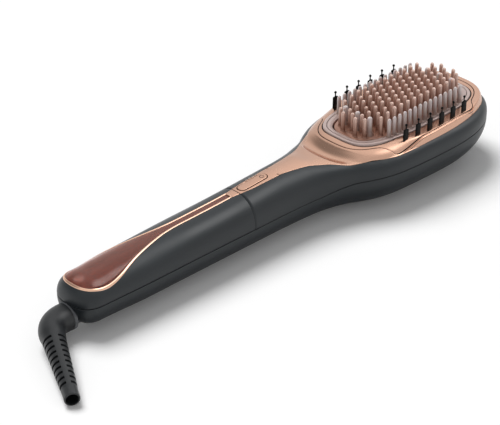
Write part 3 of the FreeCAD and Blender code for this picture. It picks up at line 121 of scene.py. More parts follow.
def finish(name, colour, patchColour, metallic=0.0, rough=(0.4, 0.5), grain=2500.0, bump=0.05, coat=0.0,
           marks=0.0, transmission=0.0, ior=1.5, specular=0.5, subsurface=0.0, fade=None):
    material = bpy.data.materials.new(name)
    material.use_nodes = True
    nodes, link = material.node_tree.nodes, material.node_tree.links.new
    shader = nodes["Principled BSDF"]
    shader.inputs["Metallic"].default_value = metallic
    shader.inputs["Coat Weight"].default_value = coat
    shader.inputs["Coat Roughness"].default_value = 0.2
    shader.inputs["Transmission Weight"].default_value = transmission
    shader.inputs["IOR"].default_value = ior
    shader.inputs["Specular IOR Level"].default_value = specular
    shader.inputs["Subsurface Weight"].default_value = subsurface
    shader.inputs["Subsurface Scale"].default_value = 0.002
    surface = nodes.new("ShaderNodeGroup")
    surface.node_tree = grainGroup
    surface.inputs["Grain Size"].default_value = grain
    surface.inputs["Rough Low"].default_value = rough[0]
    surface.inputs["Rough High"].default_value = rough[1]
    bumpNode = nodes.new("ShaderNodeBump")
    bumpNode.inputs["Strength"].default_value = bump
    bumpNode.inputs["Distance"].default_value = 0.0002
    link(surface.outputs["Height"], bumpNode.inputs["Height"])
    link(bumpNode.outputs["Normal"], shader.inputs["Normal"])
    tint = nodes.new("ShaderNodeMix")
    tint.data_type = "RGBA"
    tint.inputs["A"].default_value = colour
    tint.inputs["B"].default_value = patchColour
    if fade:    # from the first colour at the lower level to the second at the upper one
        place, parts = nodes.new("ShaderNodeTexCoord"), nodes.new("ShaderNodeSeparateXYZ")
        level = nodes.new("ShaderNodeMapRange")
        for label, height in zip(("From Min", "From Max"), fade):
            level.inputs[label].default_value = height * mm
        link(place.outputs["Object"], parts.inputs["Vector"])
        link(parts.outputs["Z"], level.inputs["Value"])
        link(level.outputs["Result"], tint.inputs["Factor"])
    else:
        link(surface.outputs["Patches"], tint.inputs["Factor"])
    link(tint.outputs["Result"], shader.inputs["Base Color"])
    if marks:
        rub = nodes.new("ShaderNodeGroup")
        rub.node_tree = rubGroup
        rub.inputs["Amount"].default_value = marks
        total = nodes.new("ShaderNodeMath")
        link(surface.outputs["Roughness"], total.inputs[0])
        link(rub.outputs["Marks"], total.inputs[1])
        link(total.outputs["Value"], shader.inputs["Roughness"])
    else:
        link(surface.outputs["Roughness"], shader.inputs["Roughness"])
    return material


finishTable = {
    "softShell": ((30, 35, 38), (36, 41, 45),
                  dict(rough=(0.33, 0.42), grain=3200.0, bump=0.08, specular=0.42, marks=0.05)),
    "roseGold": ((198, 156, 134), (210, 170, 148),
                 dict(metallic=1.0, rough=(0.2, 0.28), grain=1800.0, bump=0.02, marks=0.05)),
    "roseTrim": ((232, 186, 158), (240, 200, 176),
                 dict(metallic=1.0, rough=(0.12, 0.18), grain=1800.0, bump=0.02)),
    # the teeth and steam pins darken and brown towards their bases: painted shade low down among the pins
    "pearl": ((148, 118, 106), (222, 210, 208),
              dict(metallic=0.1, rough=(0.3, 0.4), coat=0.3, subsurface=0.05, fade=(38.0, 48.0))),
    "pearlBase": ((182, 160, 154), (192, 172, 166), dict(metallic=0.25, rough=(0.3, 0.4), coat=0.3)),
    # the pins' lighter pearly tips are their own colour; the spread from the dark low end to the bright top also
    # paints shade down among the pins and on the plate, and light on the tips
    "copperPin": ((156, 114, 96), (240, 208, 194), dict(metallic=0.3, rough=(0.2, 0.28), fade=(39.0, 52.5))),
    "smokedWindow": ((170, 98, 78), (176, 104, 84),
                     dict(transmission=0.72, rough=(0.12, 0.17), bump=0.0, ior=1.46, specular=0.35)),
    "tankInner": ((220, 186, 176), (230, 198, 188), dict(rough=(0.25, 0.35), coat=0.3)),
    "blackRubber": ((26, 28, 30), (34, 36, 38), dict(rough=(0.36, 0.46), grain=2600.0, bump=0.1)),
    "blackBristle": ((8, 7, 7), (12, 11, 11), dict(bump=0.02, specular=0.12)),
    "greyPlastic": ((92, 94, 97), (102, 104, 107), dict(rough=(0.4, 0.55))),
    "whitePlastic": ((214, 212, 206), (224, 222, 216), dict(rough=(0.35, 0.45))),
    "castAluminium": ((176, 178, 182), (190, 192, 196),
                      dict(metallic=0.9, rough=(0.45, 0.6), grain=1500.0, bump=0.2)),
    "steel": ((186, 188, 192), (200, 202, 206), dict(metallic=1.0, rough=(0.22, 0.32), marks=0.1)),
    "boardGreen": ((22, 84, 52), (28, 96, 60), dict(rough=(0.3, 0.4), coat=0.4)),
    "silicone": ((196, 176, 160), (206, 188, 174), dict(rough=(0.45, 0.55), subsurface=0.1)),
    "clearGuide": ((226, 214, 204), (232, 222, 214), dict(rough=(0.12, 0.2), transmission=0.5, bump=0.0)),
    # dark brown for painted shade: the beds that stand for the shadow in the grooves and behind the parting line;
    # also the printed mark on the button
    "gapShadeAndPrint": ((26, 18, 15), (30, 21, 18), dict(rough=(0.6, 0.7), specular=0.2)),
}
finishes = {name: finish(name, srgb(*base), srgb(*patches), **rest)
            for name, (base, patches, rest) in finishTable.items()}
finishOfSlot = {
    "soft_touch_shell": "softShell", "rose_gold": "roseGold", "pearl": "pearl", "copper_pin": "copperPin",
    "smoked_window": "smokedWindow", "tank_inner": "tankInner", "black_rubber": "blackRubber",
    "black_bristle": "blackBristle", "grey_plastic": "greyPlastic", "white_plastic": "whitePlastic",
    "cast_aluminium": "castAluminium", "steel": "steel", "board_green": "boardGreen", "silicone": "silicone",
    "clear_guide": "clearGuide",
}
slotOfNode = {part["node"]: part["material_slot"] for part in frame["record"]["subparts"]}
for nodeName, nodeObject in frame["nodes"].items():
    nodeObject.data.materials.clear()
    nodeObject.data.materials.append(finishes[finishOfSlot[slotOfNode[nodeName]]])
print("finishes made:", len(finishes))


def squircle(angle, halfA, halfB, power):
    c, s = math.cos(angle), math.sin(angle)
    reach = (abs(c) ** power + abs(s) ** power) ** (-1.0 / power)
    return halfA * c * reach, halfB * s * reach


def tableValue(table, x):
    # smooth value of an (x, value) table, with slopes limited so that it never overshoots
    for (xa, va), (xb, vb) in zip(table, table[1:]):
        if x <= xb or (xb, vb) == table[-1]:
            break
    k = table.index((xb, vb))
    steps = [(table[i + 1][1] - table[i][1]) / (table[i + 1][0] - table[i][0]) for i in range(len(table) - 1)]

    def slope(i):
        if i == 0 or i == len(table) - 1 or steps[i - 1] * steps[i] <= 0:
            return 0.0
        return 2 * steps[i - 1] * steps[i] / (steps[i - 1] + steps[i])
    span = xb - xa
    u = min(1.0, max(0.0, (x - xa) / span))
    return ((2 * u ** 3 - 3 * u ** 2 + 1) * va + (u ** 3 - 2 * u ** 2 + u) * span * slope(k - 1)
            + (3 * u ** 2 - 2 * u ** 3) * vb + (u ** 3 - u ** 2) * span * slope(k))


handleR, headHalf = 15.6, 36.2
housing = {
    "tailX": -249.0, "tipX": 60.8, "centreX": 10.0, "tailRound": 14.0, "tailPower": 2.6, "headPower": 2.5,
    "depthFromX": 5.0, "dropFromX": 50.0, "plateZ": 38.0, "wall": 1.2, "lip": 1.4,
    "widths": [(-235.0, 0.97 * handleR), (-205.0, 1.005 * handleR), (-170.0, 0.993 * handleR),
               (-110.0, handleR), (-95.0, 1.03 * handleR), (-82.0, 1.10 * handleR), (-70.0, 1.25 * handleR),
               (-60.0, 0.635 * headHalf), (-50.0, 0.79 * headHalf), (-42.0, 0.888 * headHalf),
               (-30.0, 0.955 * headHalf), (-10.0, 0.989 * headHalf), (10.0, headHalf)],
    "widest": [(-249.0, 18.2), (-110.0, 19.0), (-80.0, 20.5), (-60.0, 22.0), (-40.0, 22.5), (0.0, 23.0),
               (60.8, 26.0)],
    "tops": [(-235.0, 31.2), (-225.0, 32.0), (-205.0, 33.1), (-185.0, 33.7), (-165.0, 34.1), (-150.0, 34.5),
             (-138.0, 35.0), (-128.0, 35.5), (-112.0, 36.5), (-100.0, 37.0), (-84.0, 36.8), (-74.0, 35.4),
             (-66.0, 34.6), (-58.0, 34.0), (-48.0, 34.4), (-35.0, 36.0), (0.0, 36.8), (40.0, 36.8), (60.8, 35.0)],
    "bottoms": [(-235.0, 4.2), (-200.0, 3.4), (-110.0, 3.4), (-80.0, 3.0), (-60.0, 1.7), (-30.0, -0.2),
                (5.0, -0.4)],
    "topPowers": [(-249.0, 2.0), (-205.0, 2.0), (-165.0, 2.25), (-105.0, 2.25), (-85.0, 2.4), (-66.0, 3.4),
                  (-55.0, 3.5), (-40.0, 3.3), (-20.0, 3.7), (0.0, 3.8), (60.8, 3.8)],
    "bottomPowers": [(-249.0, 2.8), (-100.0, 2.8), (-60.0, 2.6), (0.0, 2.5), (60.8, 2.5)],
    "parting": [(-249.0, 17.6), (-110.0, 17.6), (-82.0, 18.0), (-70.0, 19.5), (-58.0, 21.2), (-40.0, 22.5),
                (0.0, 23.0), (40.0, 24.6), (80.0, 27.0)],
}


def rise(share, power):
    return (1 - min(1.0, abs(share)) ** power) ** (1 / power)


def section(x, inset=0.0):
    # half width, widest level, top and bottom of the housing at x, moved in by inset
    tail, tip, centre = housing["tailX"] + inset, housing["tipX"] - inset, housing["centreX"]
    tailEnd = housing["tailX"] + housing["tailRound"]
    widest = tableValue(housing["widest"], x)
    width, top, bottom = (tableValue(housing[k], x) for k in ("widths", "tops", "bottoms"))
    if x < tailEnd:
        reach = min(1.0, (tailEnd - x) / (tailEnd - tail))
        shrink = rise(reach, housing["tailPower"])
        return ((width - inset) * shrink, widest, widest + (top - inset - widest) * shrink,
                widest - (widest - bottom - inset) * shrink)
    # towards the tip the plan, the underside and the top close at their own pace
    plan, depth, drop = (rise(max(0.0, x - start) / (tip - start), power)
                         for start, power in ((centre, housing["headPower"]), (housing["depthFromX"], 2.2),
                                              (housing["dropFromX"], 3)))
    return ((width - inset) * plan, widest, widest + (top - inset - widest) * drop,
            widest - (widest - bottom - inset) * depth)


def formZ(x, y, inset, upper):
    width, widest, top, bottom = section(x, inset)
    power = tableValue(housing["topPowers" if upper else "bottomPowers"], x)
    share = abs(y) / width if width > 1e-6 else 1.0
    return widest + ((top if upper else bottom) - widest) * rise(share, power)


def formPoint(stop, q, inset=0.0):
    # a point of the housing: stop is a place along its plan outline, q runs from -1 under to 1 on top
    kind, value, side = stop
    upper = q >= 0
    turn = abs(q) * math.pi / 2
    if kind == "side":
        power = tableValue(housing["topPowers" if upper else "bottomPowers"], value)
        width, widest, top, bottom = section(value, inset)
        y = side * width * math.cos(turn) ** (2 / power)
        z = widest + ((top if upper else bottom) - widest) * math.sin(turn) ** (2 / power)
        return Vector((value, y, max(z, 0.0)))
    if kind == "tail":
        centre, power = housing["tailX"] + housing["tailRound"], housing["tailPower"]
        halfA = housing["tailRound"] - inset
        halfB = tableValue(housing["widths"], centre) - inset
        swell = 2.0
    else:
        centre, power = housing["centreX"], housing["headPower"]
        halfA = housing["tipX"] - centre - inset
        halfB = headHalf - inset
        swell = 2.6
    x, y = squircle(value, halfA, halfB, power)
    out = math.cos(turn) ** (2 / swell)
    x, y = centre + x * out, side * abs(y) * out
    return Vector((x, y, max(formZ(x, y, inset, upper), 0.0)))


def levelOf(stop, level, inset=0.0):
    # q at which the housing reaches a level
    low, high = -1.0, 1.0
    for _ in range(34):
        middle = (low + high) / 2
        if formPoint(stop, middle, inset).z < level(formPoint(stop, middle, inset).x):
            low = middle
        else:
            high = middle
    return (low + high) / 2


def edgeOf(stop, isInside, inset=0.0):
    # q above the widest level at which the housing passes inside a plan outline
    low, high = 0.0, 1.0
    for _ in range(34):
        middle = (low + high) / 2
        p = formPoint(stop, middle, inset)
        if isInside(p.x, abs(p.y)):
            high = middle
        else:
            low = middle
    return (low + high) / 2


def parting(x):
    return tableValue(housing["parting"], x)


def patch(bm, ribs):
    # a sheet of quads through a list of ribs, each a list of points
    across, along = len(ribs) - 1, len(ribs[0]) - 1
    made = bmesh.ops.create_grid(bm, x_segments=across, y_segments=along, size=1.0)["verts"]
    for v in made:
        i = round((v.co.x + 1) / 2 * across)
        j = round((v.co.y + 1) / 2 * along)
        v.co = ribs[i][j]


def weldSeams(bm, gap):
    bmesh.ops.remove_doubles(bm, verts=bm.verts[:], dist=gap)


def closeUp(bm, gap):
    # a closed shape: seams welded, faces outwards
    weldSeams(bm, gap)
    bmesh.ops.recalc_face_normals(bm, faces=bm.faces[:])


def faceAway(bm, inside, gap):
    # an open shell: seams welded, faces one way round all over and away from a point inside
    closeUp(bm, gap)
    lean = sum(f.normal.dot(f.calc_center_median() - Vector(inside)) * f.calc_area() for f in bm.faces)
    if lean < 0:
        bmesh.ops.reverse_faces(bm, faces=bm.faces[:])


def faceUp(bm, gap=0.0):
    # open sheets that were all drawn the same way round
    if gap:
        weldSeams(bm, gap)
    bm.normal_update()
    if sum(f.normal.z * f.calc_area() for f in bm.faces) < 0:
        bmesh.ops.reverse_faces(bm, faces=bm.faces[:])


def stackRings(bm, rings):
    # rings are lists of points; each is bridged to the next, and both ends are closed
    loops = []
    for ring in rings:
        made = bmesh.ops.create_circle(bm, segments=len(ring), radius=1.0)["verts"]
        for v, p in zip(made, ring):
            v.co = p
        loops.append(made)
    for a, b in zip(loops, loops[1:]):
        edges = {e for ring in (a, b) for v in ring for e in v.link_edges if e.other_vert(v) in ring}
        bmesh.ops.bridge_loops(bm, edges=list(edges))
    bm.faces.new(list(reversed(loops[0])))
    bm.faces.new(loops[-1])


def makePiece(bm, name, body, material, weld=0.002, angle=38):
    if weld:
        weldSeams(bm, weld)
    bmesh.ops.scale(bm, vec=(mm, mm, mm), verts=bm.verts[:])
    mesh = bpy.data.meshes.new(name)
    bm.to_mesh(mesh)
    bm.free()
    piece = bpy.data.objects.new(name, mesh)
    bpy.context.scene.collection.objects.link(piece)
    mesh.materials.append(finishes[material])
    mesh.shade_smooth()
    mesh.set_sharp_from_angle(angle=math.radians(angle))
    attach(piece, body)
    return piece


def thicken(piece, wall):
    solid = piece.modifiers.new("wall", "SOLIDIFY")
    solid.thickness = wall * mm
    solid.offset = -1.0
    return piece


def spread(first, last, count):
    return [first + (last - first) * k / count for k in range(count + 1)]


def sideStops(xs, side):
    return [("side", x, side) for x in xs]


def fanStops(kind, count, first, last, side):
    return [(kind, math.radians(a), side) for a in spread(first, last, count)]


neckXs = spread(-105.0, -38.0, 48)
headXs = spread(-38.0, 10.0, 24)


# the parting line: how far each half stops short of it, and the dark strip behind it, which is painted shade
# standing for the shadow in the gap
seam = {"below": 0.18, "above": 0.24, "bedInset": 0.4, "bedHalf": 0.9, "bedWall": 0.5}


def lipRows(stop, q, depth, step):
    # the last rows of a shell's edge: a small rolled corner, then the wall; step is 1 for an upper edge
    return [formPoint(stop, q - step * back, inset)
            for back, inset in ((0.006, 0.0), (0.0018, 0.03), (0.0, 0.12), (0.0, depth))]


def headStops(count, side):
    return fanStops("head", count, 90, 0, side)[1:]


def buildLowerHousing():
    bm = bmesh.new()
    xs = spread(-235.0, -131.0, 60)[:-1] + spread(-131.0, -105.0, 14)[:-1] + neckXs[:-1] + headXs
    for side in (1, -1):
        stops = fanStops("tail", 20, 180, 90, side)[:-1] + sideStops(xs, side) + headStops(30, side)
        ribs = []
        for stop in stops:
            top = levelOf(stop, lambda x: parting(x) - seam["below"])
            qs = [-1 + (top + 0.988) * (1 - (1 - t) ** 1.3) for t in spread(0, 1, 26)]
            ribs.append([formPoint(stop, q) for q in qs] + lipRows(stop, top, housing["lip"], 1))
        patch(bm, ribs)
    faceAway(bm, (-60, 0, 60), 0.02)
    piece = makePiece(bm, "lowerHousing", "root", "softShell")
    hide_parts("lower_shell")
    return thicken(piece, housing["wall"])


# the rose gold panel's plan outline: a round end at the head, a waisted neck and a strip on the handle
panel = {
    "tipX": 59.4, "halfWidth": 32.7, "power": 2.6, "gap": 0.15, "wall": 0.6,
    "edge": [(-101.0, 5.0), (-94.3, 5.8), (-87.5, 6.9), (-81.2, 8.3), (-75.3, 10.4), (-69.9, 12.9),
             (-65.3, 15.8), (-60.6, 18.7), (-55.2, 21.3), (-49.6, 23.8), (-44.4, 26.4), (-39.0, 28.9),
             (-33.0, 30.8), (-25.6, 31.8), (-17.0, 32.4)],
    "strip": [(-129.7, 3.5), (-121.0, 4.3), (-112.0, 4.7), (-101.0, 5.0)], "stripEndX": -129.7,
    "stripX": -101.0, "joinX": -102.0,    # where the strip's outline starts, and where the two sheets meet
    # places on the panel's outline and on the rim's that a rung of the sheet joins
    "rungs": [(40.0, 38.5), (10.0, 10.0), (-20.0, -19.0), (-38.0, -36.0), (-48.0, -44.0), (-62.0, -51.5)],
}


def panelHalf(x, grow=0.0):
    # half width of the panel at x, or a negative number past its ends
    if x < panel["stripEndX"] - grow - 0.1:
        return -1.0
    if x < panel["stripX"]:
        return tableValue(panel["strip"], x) + grow
    if x < 0.0:
        return tableValue(panel["edge"] + [(0.0, panel["halfWidth"])], x) + grow
    share = x / (panel["tipX"] + grow)
    return -1.0 if share > 1 else (panel["halfWidth"] + grow) * rise(share, panel["power"])


def buildUpperHousing():
    bm = bmesh.new()
    for side in (1, -1):
        stops = sideStops(spread(-129.92, -105.0, 14)[:-1] + neckXs[:-1] + headXs, side) + headStops(40, side)
        ribs = []
        for stop in stops:
            low = levelOf(stop, lambda x: parting(x) + seam["above"])
            high = edgeOf(stop, lambda x, y: y < panelHalf(x, panel["gap"]))
            ribs.append(list(reversed(lipRows(stop, low, housing["lip"], -1)))
                        + [formPoint(stop, q) for q in spread(low + 0.012, high - 0.012, 22)]
                        + lipRows(stop, high, housing["lip"], 1))
        patch(bm, ribs)
    faceAway(bm, (-40, 0, 15), 0.02)
    piece = makePiece(bm, "upperHousing", "root", "softShell")
    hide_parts("upper_shell")
    return thicken(piece, housing["wall"])


def buildSeamShadeBed():
    # dark strip behind the parting line, from the seam with the tank round the head: painted shade, so that the
    # gap reads as a shadowed line
    bm = bmesh.new()
    inset = seam["bedInset"]
    for side in (1, -1):
        stops = sideStops(spread(-129.6, -105.0, 10)[:-1] + neckXs[:-1] + headXs, side) + headStops(40, side)
        ribs = []
        for stop in stops:
            low, high = (levelOf(stop, lambda x: parting(x) + seam["bedHalf"] * d, inset) for d in (-1, 1))
            ribs.append([formPoint(stop, q, inset) for q in spread(low, high, 3)])
        patch(bm, ribs)
    faceAway(bm, (-40, 0, 20), 0.02)
    return thicken(makePiece(bm, "seamShadeBed", "root", "gapShadeAndPrint", weld=0.0), seam["bedWall"])


buildLowerHousing()
buildUpperHousing()
buildSeamShadeBed()
print("housing halves made")


head = {
    "ringLength": 50.4, "ringWidth": 24.0, "ringPower": 3.3, "ringTop": 38.5, "ringWide": 5.5, "ringGap": 0.6,
    "floorZ": 34.1, "coveX": -24.0, "coveSweep": 39.5, "coveR": 7.0, "coveZ": 39.4, "coveFromX": -38.0,
}
pad = {"backX": 62.5, "backPull": 1.25, "side": 2.0, "neckSide": 10.5, "drop": 6.6, "crown": 1.9}
rim = {"length": 54.0, "width": 25.9, "power": 2.9, "backOut": 0.6, "groove": 0.45,
       "bulgeHalf": 36.2, "bulgeSoft": 1.3, "bulgeY": 30.85, "bulgeBow": 0.0013, "bulgeX": -8.0}


def smoothMax(a, b, blend):
    h = max(0.0, 1 - abs(a - b) / blend)
    return max(a, b) + h * h * blend / 4


def padZ(x, y):
    # the raised pad: nested outlines that climb to a flat top
    low, high = 0.0, 12.5
    for _ in range(26):
        shrink = (low + high) / 2
        halfA = panel["tipX"] - shrink if x > 0 else pad["backX"] - pad["backPull"] * shrink
        halfB = panel["halfWidth"] - shrink
        if (abs(x) / halfA) ** panel["power"] + (abs(y) / halfB) ** panel["power"] <= 1:
            low = shrink
        else:
            high = shrink
    ahead = min(1.0, max(0.0, (-12.0 - x) / 30.0))
    u = min(1.0, low / (pad["side"] + pad["neckSide"] * ahead * ahead * (3 - 2 * ahead)))
    if low < 1e-4:
        return -50.0      # outside the pad
    return housing["plateZ"] - pad["drop"] * (1 - rise(1 - u, pad["crown"]))


def topZ(x, y):
    # height of the panel: the housing's form, the pad on it and the cove scooped out in front of the pad
    z = formZ(x, y, 0.0, True)
    pad = padZ(x, y)
    if pad > 0:
        z = smoothMax(z, pad, 0.8)
    off = math.hypot(x - head["coveX"], y) - head["coveSweep"]
    if x < head["coveFromX"] and abs(off) < head["coveR"]:
        cove = head["coveZ"] - math.sqrt(head["coveR"] ** 2 - off ** 2)
        z = -smoothMax(-z, -cove, 0.8)
    return z


def rimOutline(grow, count):
    # outline of the rim that carries the bristles: it bulges sideways along their two rows
    points = []
    for k in range(count):
        angle = 2 * math.pi * k / count
        back = rim["backOut"] if math.cos(angle) < 0 else 0.0
        x, y = squircle(angle, rim["length"] + grow + back, rim["width"] + grow, rim["power"])
        inside = 1.0 / (1.0 + math.exp((abs(x) - rim["bulgeHalf"]) / rim["bulgeSoft"]))
        reach = max(0.0, rim["bulgeY"] + grow - rim["bulgeBow"] * (x - rim["bulgeX"]) ** 2 - abs(y))
        points.append((x, y + math.copysign(reach * inside, y)))
    return points


def ringOutline(halfA, halfB, count):
    return [squircle(2 * math.pi * k / count, halfA, halfB, head["ringPower"]) for k in range(count)]


def moved(outline, out):
    # a closed outline moved sideways, outwards for a positive amount
    shifted = []
    for (xa, ya), (x, y), (xb, yb) in zip(outline[-1:] + outline[:-1], outline, outline[1:] + outline[:1]):
        dx, dy = xb - xa, yb - ya
        size = math.hypot(dx, dy) or 1.0
        shifted.append((x + dy / size * out, y - dx / size * out))
    return shifted


rollWidth = 0.18
rolledEdge = ((0.0, -1.5), (0.0, -0.18), (0.03, -0.08), (0.09, -0.02), (rollWidth, 0.0))


def sheetBetween(bm, outer, inner, rows, height, rollOuter=True, rollInner=True, rollShare=0.3):
    # a ring of quads between two outlines with equally many points, draped on a height
    ribs = []
    for start, end in zip(outer + outer[:1], inner + inner[:1]):
        a, b = Vector((*start, 0)), Vector((*end, 0))
        gap = (b - a).length
        way = (b - a) / gap if gap > 1e-6 else Vector()
        reach = min(rollWidth, gap * rollShare)
        # no rolled edge where the panel's two sheets meet
        onJoin = abs(a.x - panel["joinX"]) < 1e-6 and abs(a.y) < panelHalf(panel["joinX"]) - 1e-6
        rib = [(a, 0.0)]
        if rollOuter:
            rib = [(a, 0.0) if onJoin else (a + way * (e / rollWidth * reach), drop) for e, drop in rolledEdge]
        first, last = rib[-1][0], b - way * reach if rollInner else b
        rib += [(first.lerp(last, t), 0.0) for t in spread(0, 1, rows)[1:]]
        if rollInner:
            rib += [(b - way * (e / rollWidth * reach), drop) for e, drop in reversed(rolledEdge[:-1])]
        ribs.append([Vector((p.x, p.y, height(p.x, p.y) + drop)) for p, drop in rib])
    patch(bm, ribs)


button = {"x": -117.5, "length": 20.4, "width": 5.2, "gap": 0.5, "proud": 0.25, "wall": 0.6, "markX": -110.3,
          "markR": 1.25, "endSteps": 12, "sideSteps": 20}
lights = {"y": 3.85, "xs": [-118.4, -116.0, -113.6, -111.2], "halfA": 0.7, "halfB": 0.28}


def buttonOutline(wider=0.0):
    # round-ended outline of the button, anticlockwise from the end towards the head
    r, half = (button["width"] + wider) / 2, (button["length"] - button["width"]) / 2
    ends, sides = button["endSteps"], button["sideSteps"]
    points = []
    for way in (1, -1):
        for k in range(ends + 1):
            a = math.pi * k / ends - math.pi / 2 * way
            points.append((button["x"] + way * half + r * math.cos(a), r * math.sin(a)))
        points += [(button["x"] + way * (half - 2 * half * k / sides), way * r) for k in range(1, sides)]
    return points


def lengthsAlong(path):
    lengths = [0.0]
    for a, b in zip(path, path[1:]):
        lengths.append(lengths[-1] + math.hypot(b[0] - a[0], b[1] - a[1]))
    return lengths


def sampled(path, shares):
    # points at the given shares of a path's length
    lengths, points, k = lengthsAlong(path), [], 0
    for share in shares:
        goal = share * lengths[-1]
        while k < len(lengths) - 2 and lengths[k + 1] < goal:
            k += 1
        t = (goal - lengths[k]) / max(1e-9, lengths[k + 1] - lengths[k])
        (xa, ya), (xb, yb) = path[k], path[k + 1]
        points.append((xa + (xb - xa) * t, ya + (yb - ya) * t))
    return points


def shareAtX(path, x):
    # share of a path's length at which it comes back past x
    lengths = lengthsAlong(path)
    for k, ((xa, _), (xb, _)) in enumerate(zip(path, path[1:])):
        if xa >= x > xb:
            t = (xa - x) / max(1e-9, xa - xb)
            return (lengths[k] + t * (lengths[k + 1] - lengths[k])) / lengths[-1]
    return 1.0


def mirrored(path):
    # a path over +y closed by its mirror image
    return path + [(x, -y) for x, y in reversed(path[1:-1])]


def buildPanel():
    bm = bmesh.new()
    joinX, endX, rungs, backShare = panel["joinX"], panel["stripEndX"], 150, 0.985
    half, endHalf = panelHalf(joinX), panelHalf(endX)
    # head and neck: from the panel's outline in to the rim's, with rungs that fan out along the neck
    outer = [squircle(math.radians(a), panel["tipX"], panel["halfWidth"], panel["power"])
             for a in spread(0, 90, 60)[:-1]]
    outer += [(x, panelHalf(x)) for x in spread(0.0, joinX, 110)]
    inner = rimOutline(rim["groove"], 1200)[:601]
    marks = [(shareAtX(outer, a), shareAtX(inner, b)) for a, b in panel["rungs"]]
    marks = [(0.0, 0.0)] + marks + [(1.0, backShare)]
    shares = spread(0, 1, rungs)
    outerPath = sampled(outer, shares) + [(joinX, half * t) for t in spread(1.0, 0.0, 6)[1:]]
    innerPath = sampled(inner, [min(1.0, tableValue(marks, share)) for share in shares])
    innerPath += sampled(inner, [backShare + (1 - backShare) * t for t in spread(0, 1, 6)[1:]])
    sheetBetween(bm, mirrored(outerPath), mirrored(innerPath), 64, topZ, rollShare=0.2)
    # strip on the handle, drawn round the button's opening
    ends, sides = button["endSteps"], button["sideSteps"]
    across = [half * t for t in spread(-1, 1, ends)]
    along = spread(joinX, endX, sides)[1:-1]
    strip = [(joinX, y) for y in across] + [(x, panelHalf(x)) for x in along]
    strip += [(endX, -endHalf * t) for t in spread(-1, 1, ends)] + [(x, -panelHalf(x)) for x in reversed(along)]
    sheetBetween(bm, strip, buttonOutline(2 * button["gap"]), 12, topZ, rollShare=0.2)
    faceUp(bm, 0.004)
    piece = makePiece(bm, "rosePanel", "root", "roseGold", weld=0.0, angle=50)
    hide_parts("top_panel")
    return thicken(piece, panel["wall"])


def buildRim():
    bm = bmesh.new()
    count = 300
    outer = rimOutline(0.0, count)
    inner = ringOutline(head["ringLength"] + head["ringGap"], head["ringWidth"] + head["ringGap"], count)
    sheetBetween(bm, outer, inner, 10, padZ)
    faceUp(bm)
    piece = makePiece(bm, "bristleRim", "root", "roseGold", angle=50)
    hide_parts("pad_insert")
    return thicken(piece, 0.6)


def buildGrooveShadeBed():
    # dark bed under the grooves and round the button, painted shade so that they read as shadowed lines, and
    # letting no light through
    bm = bmesh.new()
    count = 300
    rings = [(rimOutline(1.5, count), rimOutline(-1.0, count), 0.45)]
    for out, back, depth in ((1.2, -0.6, 0.55), (-1.95, -2.5, -0.12)):
        pair = [ringOutline(head["ringLength"] + d, head["ringWidth"] + d, count) for d in (out, back)]
        rings.append((*pair, depth))
    for outside, inside, depth in rings:
        sheetBetween(bm, outside, inside, 3, lambda x, y: topZ(x, y) - depth, False, False)
    sheetBetween(bm, buttonOutline(1.8), buttonOutline(0.3), 2, lambda x, y: topZ(x, y) - 0.5, False, False)
    faceUp(bm)
    return thicken(makePiece(bm, "grooveShadeBed", "root", "gapShadeAndPrint", weld=0.0), 0.3)


buildPanel()
buildRim()
buildGrooveShadeBed()
print("panel and rim made")


def loftOutline(bm, outline, rows):
    # a closed outline run through (inset, level) rows, back to the first: a ring with a solid section
    paths = [(moved(outline, -inset), z) for inset, z in rows]
    patch(bm, [[Vector((*path[k % len(outline)], z)) for path, z in paths] for k in range(len(outline) + 1)])


comb = {"teeth": 15, "firstX": -29.0, "pitch": 4.34, "rowY": 19.6, "length": 2.5, "width": 1.9, "height": 12.0}


def tooth(bm, x, y):
    base = housing["plateZ"] + 0.35
    half, deep, tall = comb["length"] / 2, comb["width"] / 2, comb["height"] - 0.5
    levels = [(0.0, 1.42, 1.5), (0.35, 1.26, 1.28), (0.9, 1.12, 1.12), (1.8, 1.03, 1.03), (3.2, 1.0, 1.0),
              (tall - 2.2, 0.97, 0.94), (tall - 1.2, 0.9, 0.9), (tall - 0.6, 0.74, 0.78), (tall - 0.2, 0.48, 0.52),
              (tall, 0.14, 0.16)]
    rings = []
    for z, sx, sy in levels:
        ring = [squircle(2 * math.pi * k / 16, half * sx, deep * sy, 2.8) for k in range(16)]
        rings.append([Vector((x + px, y + py, base + z)) for px, py in ring])
    stackRings(bm, rings)


def buildComb():
    bm = bmesh.new()
    top, floor, width = head["ringTop"], head["floorZ"], head["ringWide"]
    rows = [(0.0, floor), (0.0, top - 0.5), (0.1, top - 0.2), (0.35, top), (1.9, top), (2.0, top - 0.06),
            (2.02, top - 0.7), (2.4, top - 0.7), (2.42, top - 0.06), (2.55, top), (width - 1.2, top - 0.35),
            (width - 0.1, top - 0.75), (width, floor), (0.0, floor)]
    loftOutline(bm, ringOutline(head["ringLength"], head["ringWidth"], 260), rows)
    closeUp(bm, 0.002)
    piece = makePiece(bm, "combRing", "root", "pearlBase", weld=0.0, angle=45)
    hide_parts("comb_ring")
    bm = bmesh.new()
    for k in range(comb["teeth"]):
        for side in (1, -1):
            tooth(bm, comb["firstX"] + k * comb["pitch"], side * comb["rowY"])
    bmesh.ops.recalc_face_normals(bm, faces=bm.faces[:])
    makePiece(bm, "combTeeth", "root", "pearl", weld=0.0, angle=45)


plate = {"length": 44.6, "width": 18.0, "top": 37.6, "spineHalf": 26.0, "pinR": 1.25, "pinTall": 14.4,
         "pitch": 5.6, "rowPitch": 4.7, "firstX": 0.8, "fieldHalfA": 43.4, "fieldHalfB": 16.6, "steamRoom": 3.2,
         "steamPins": [(x, y) for x in (-34.2, 35.8) for y in (9.4, -9.4, 0.0)]}


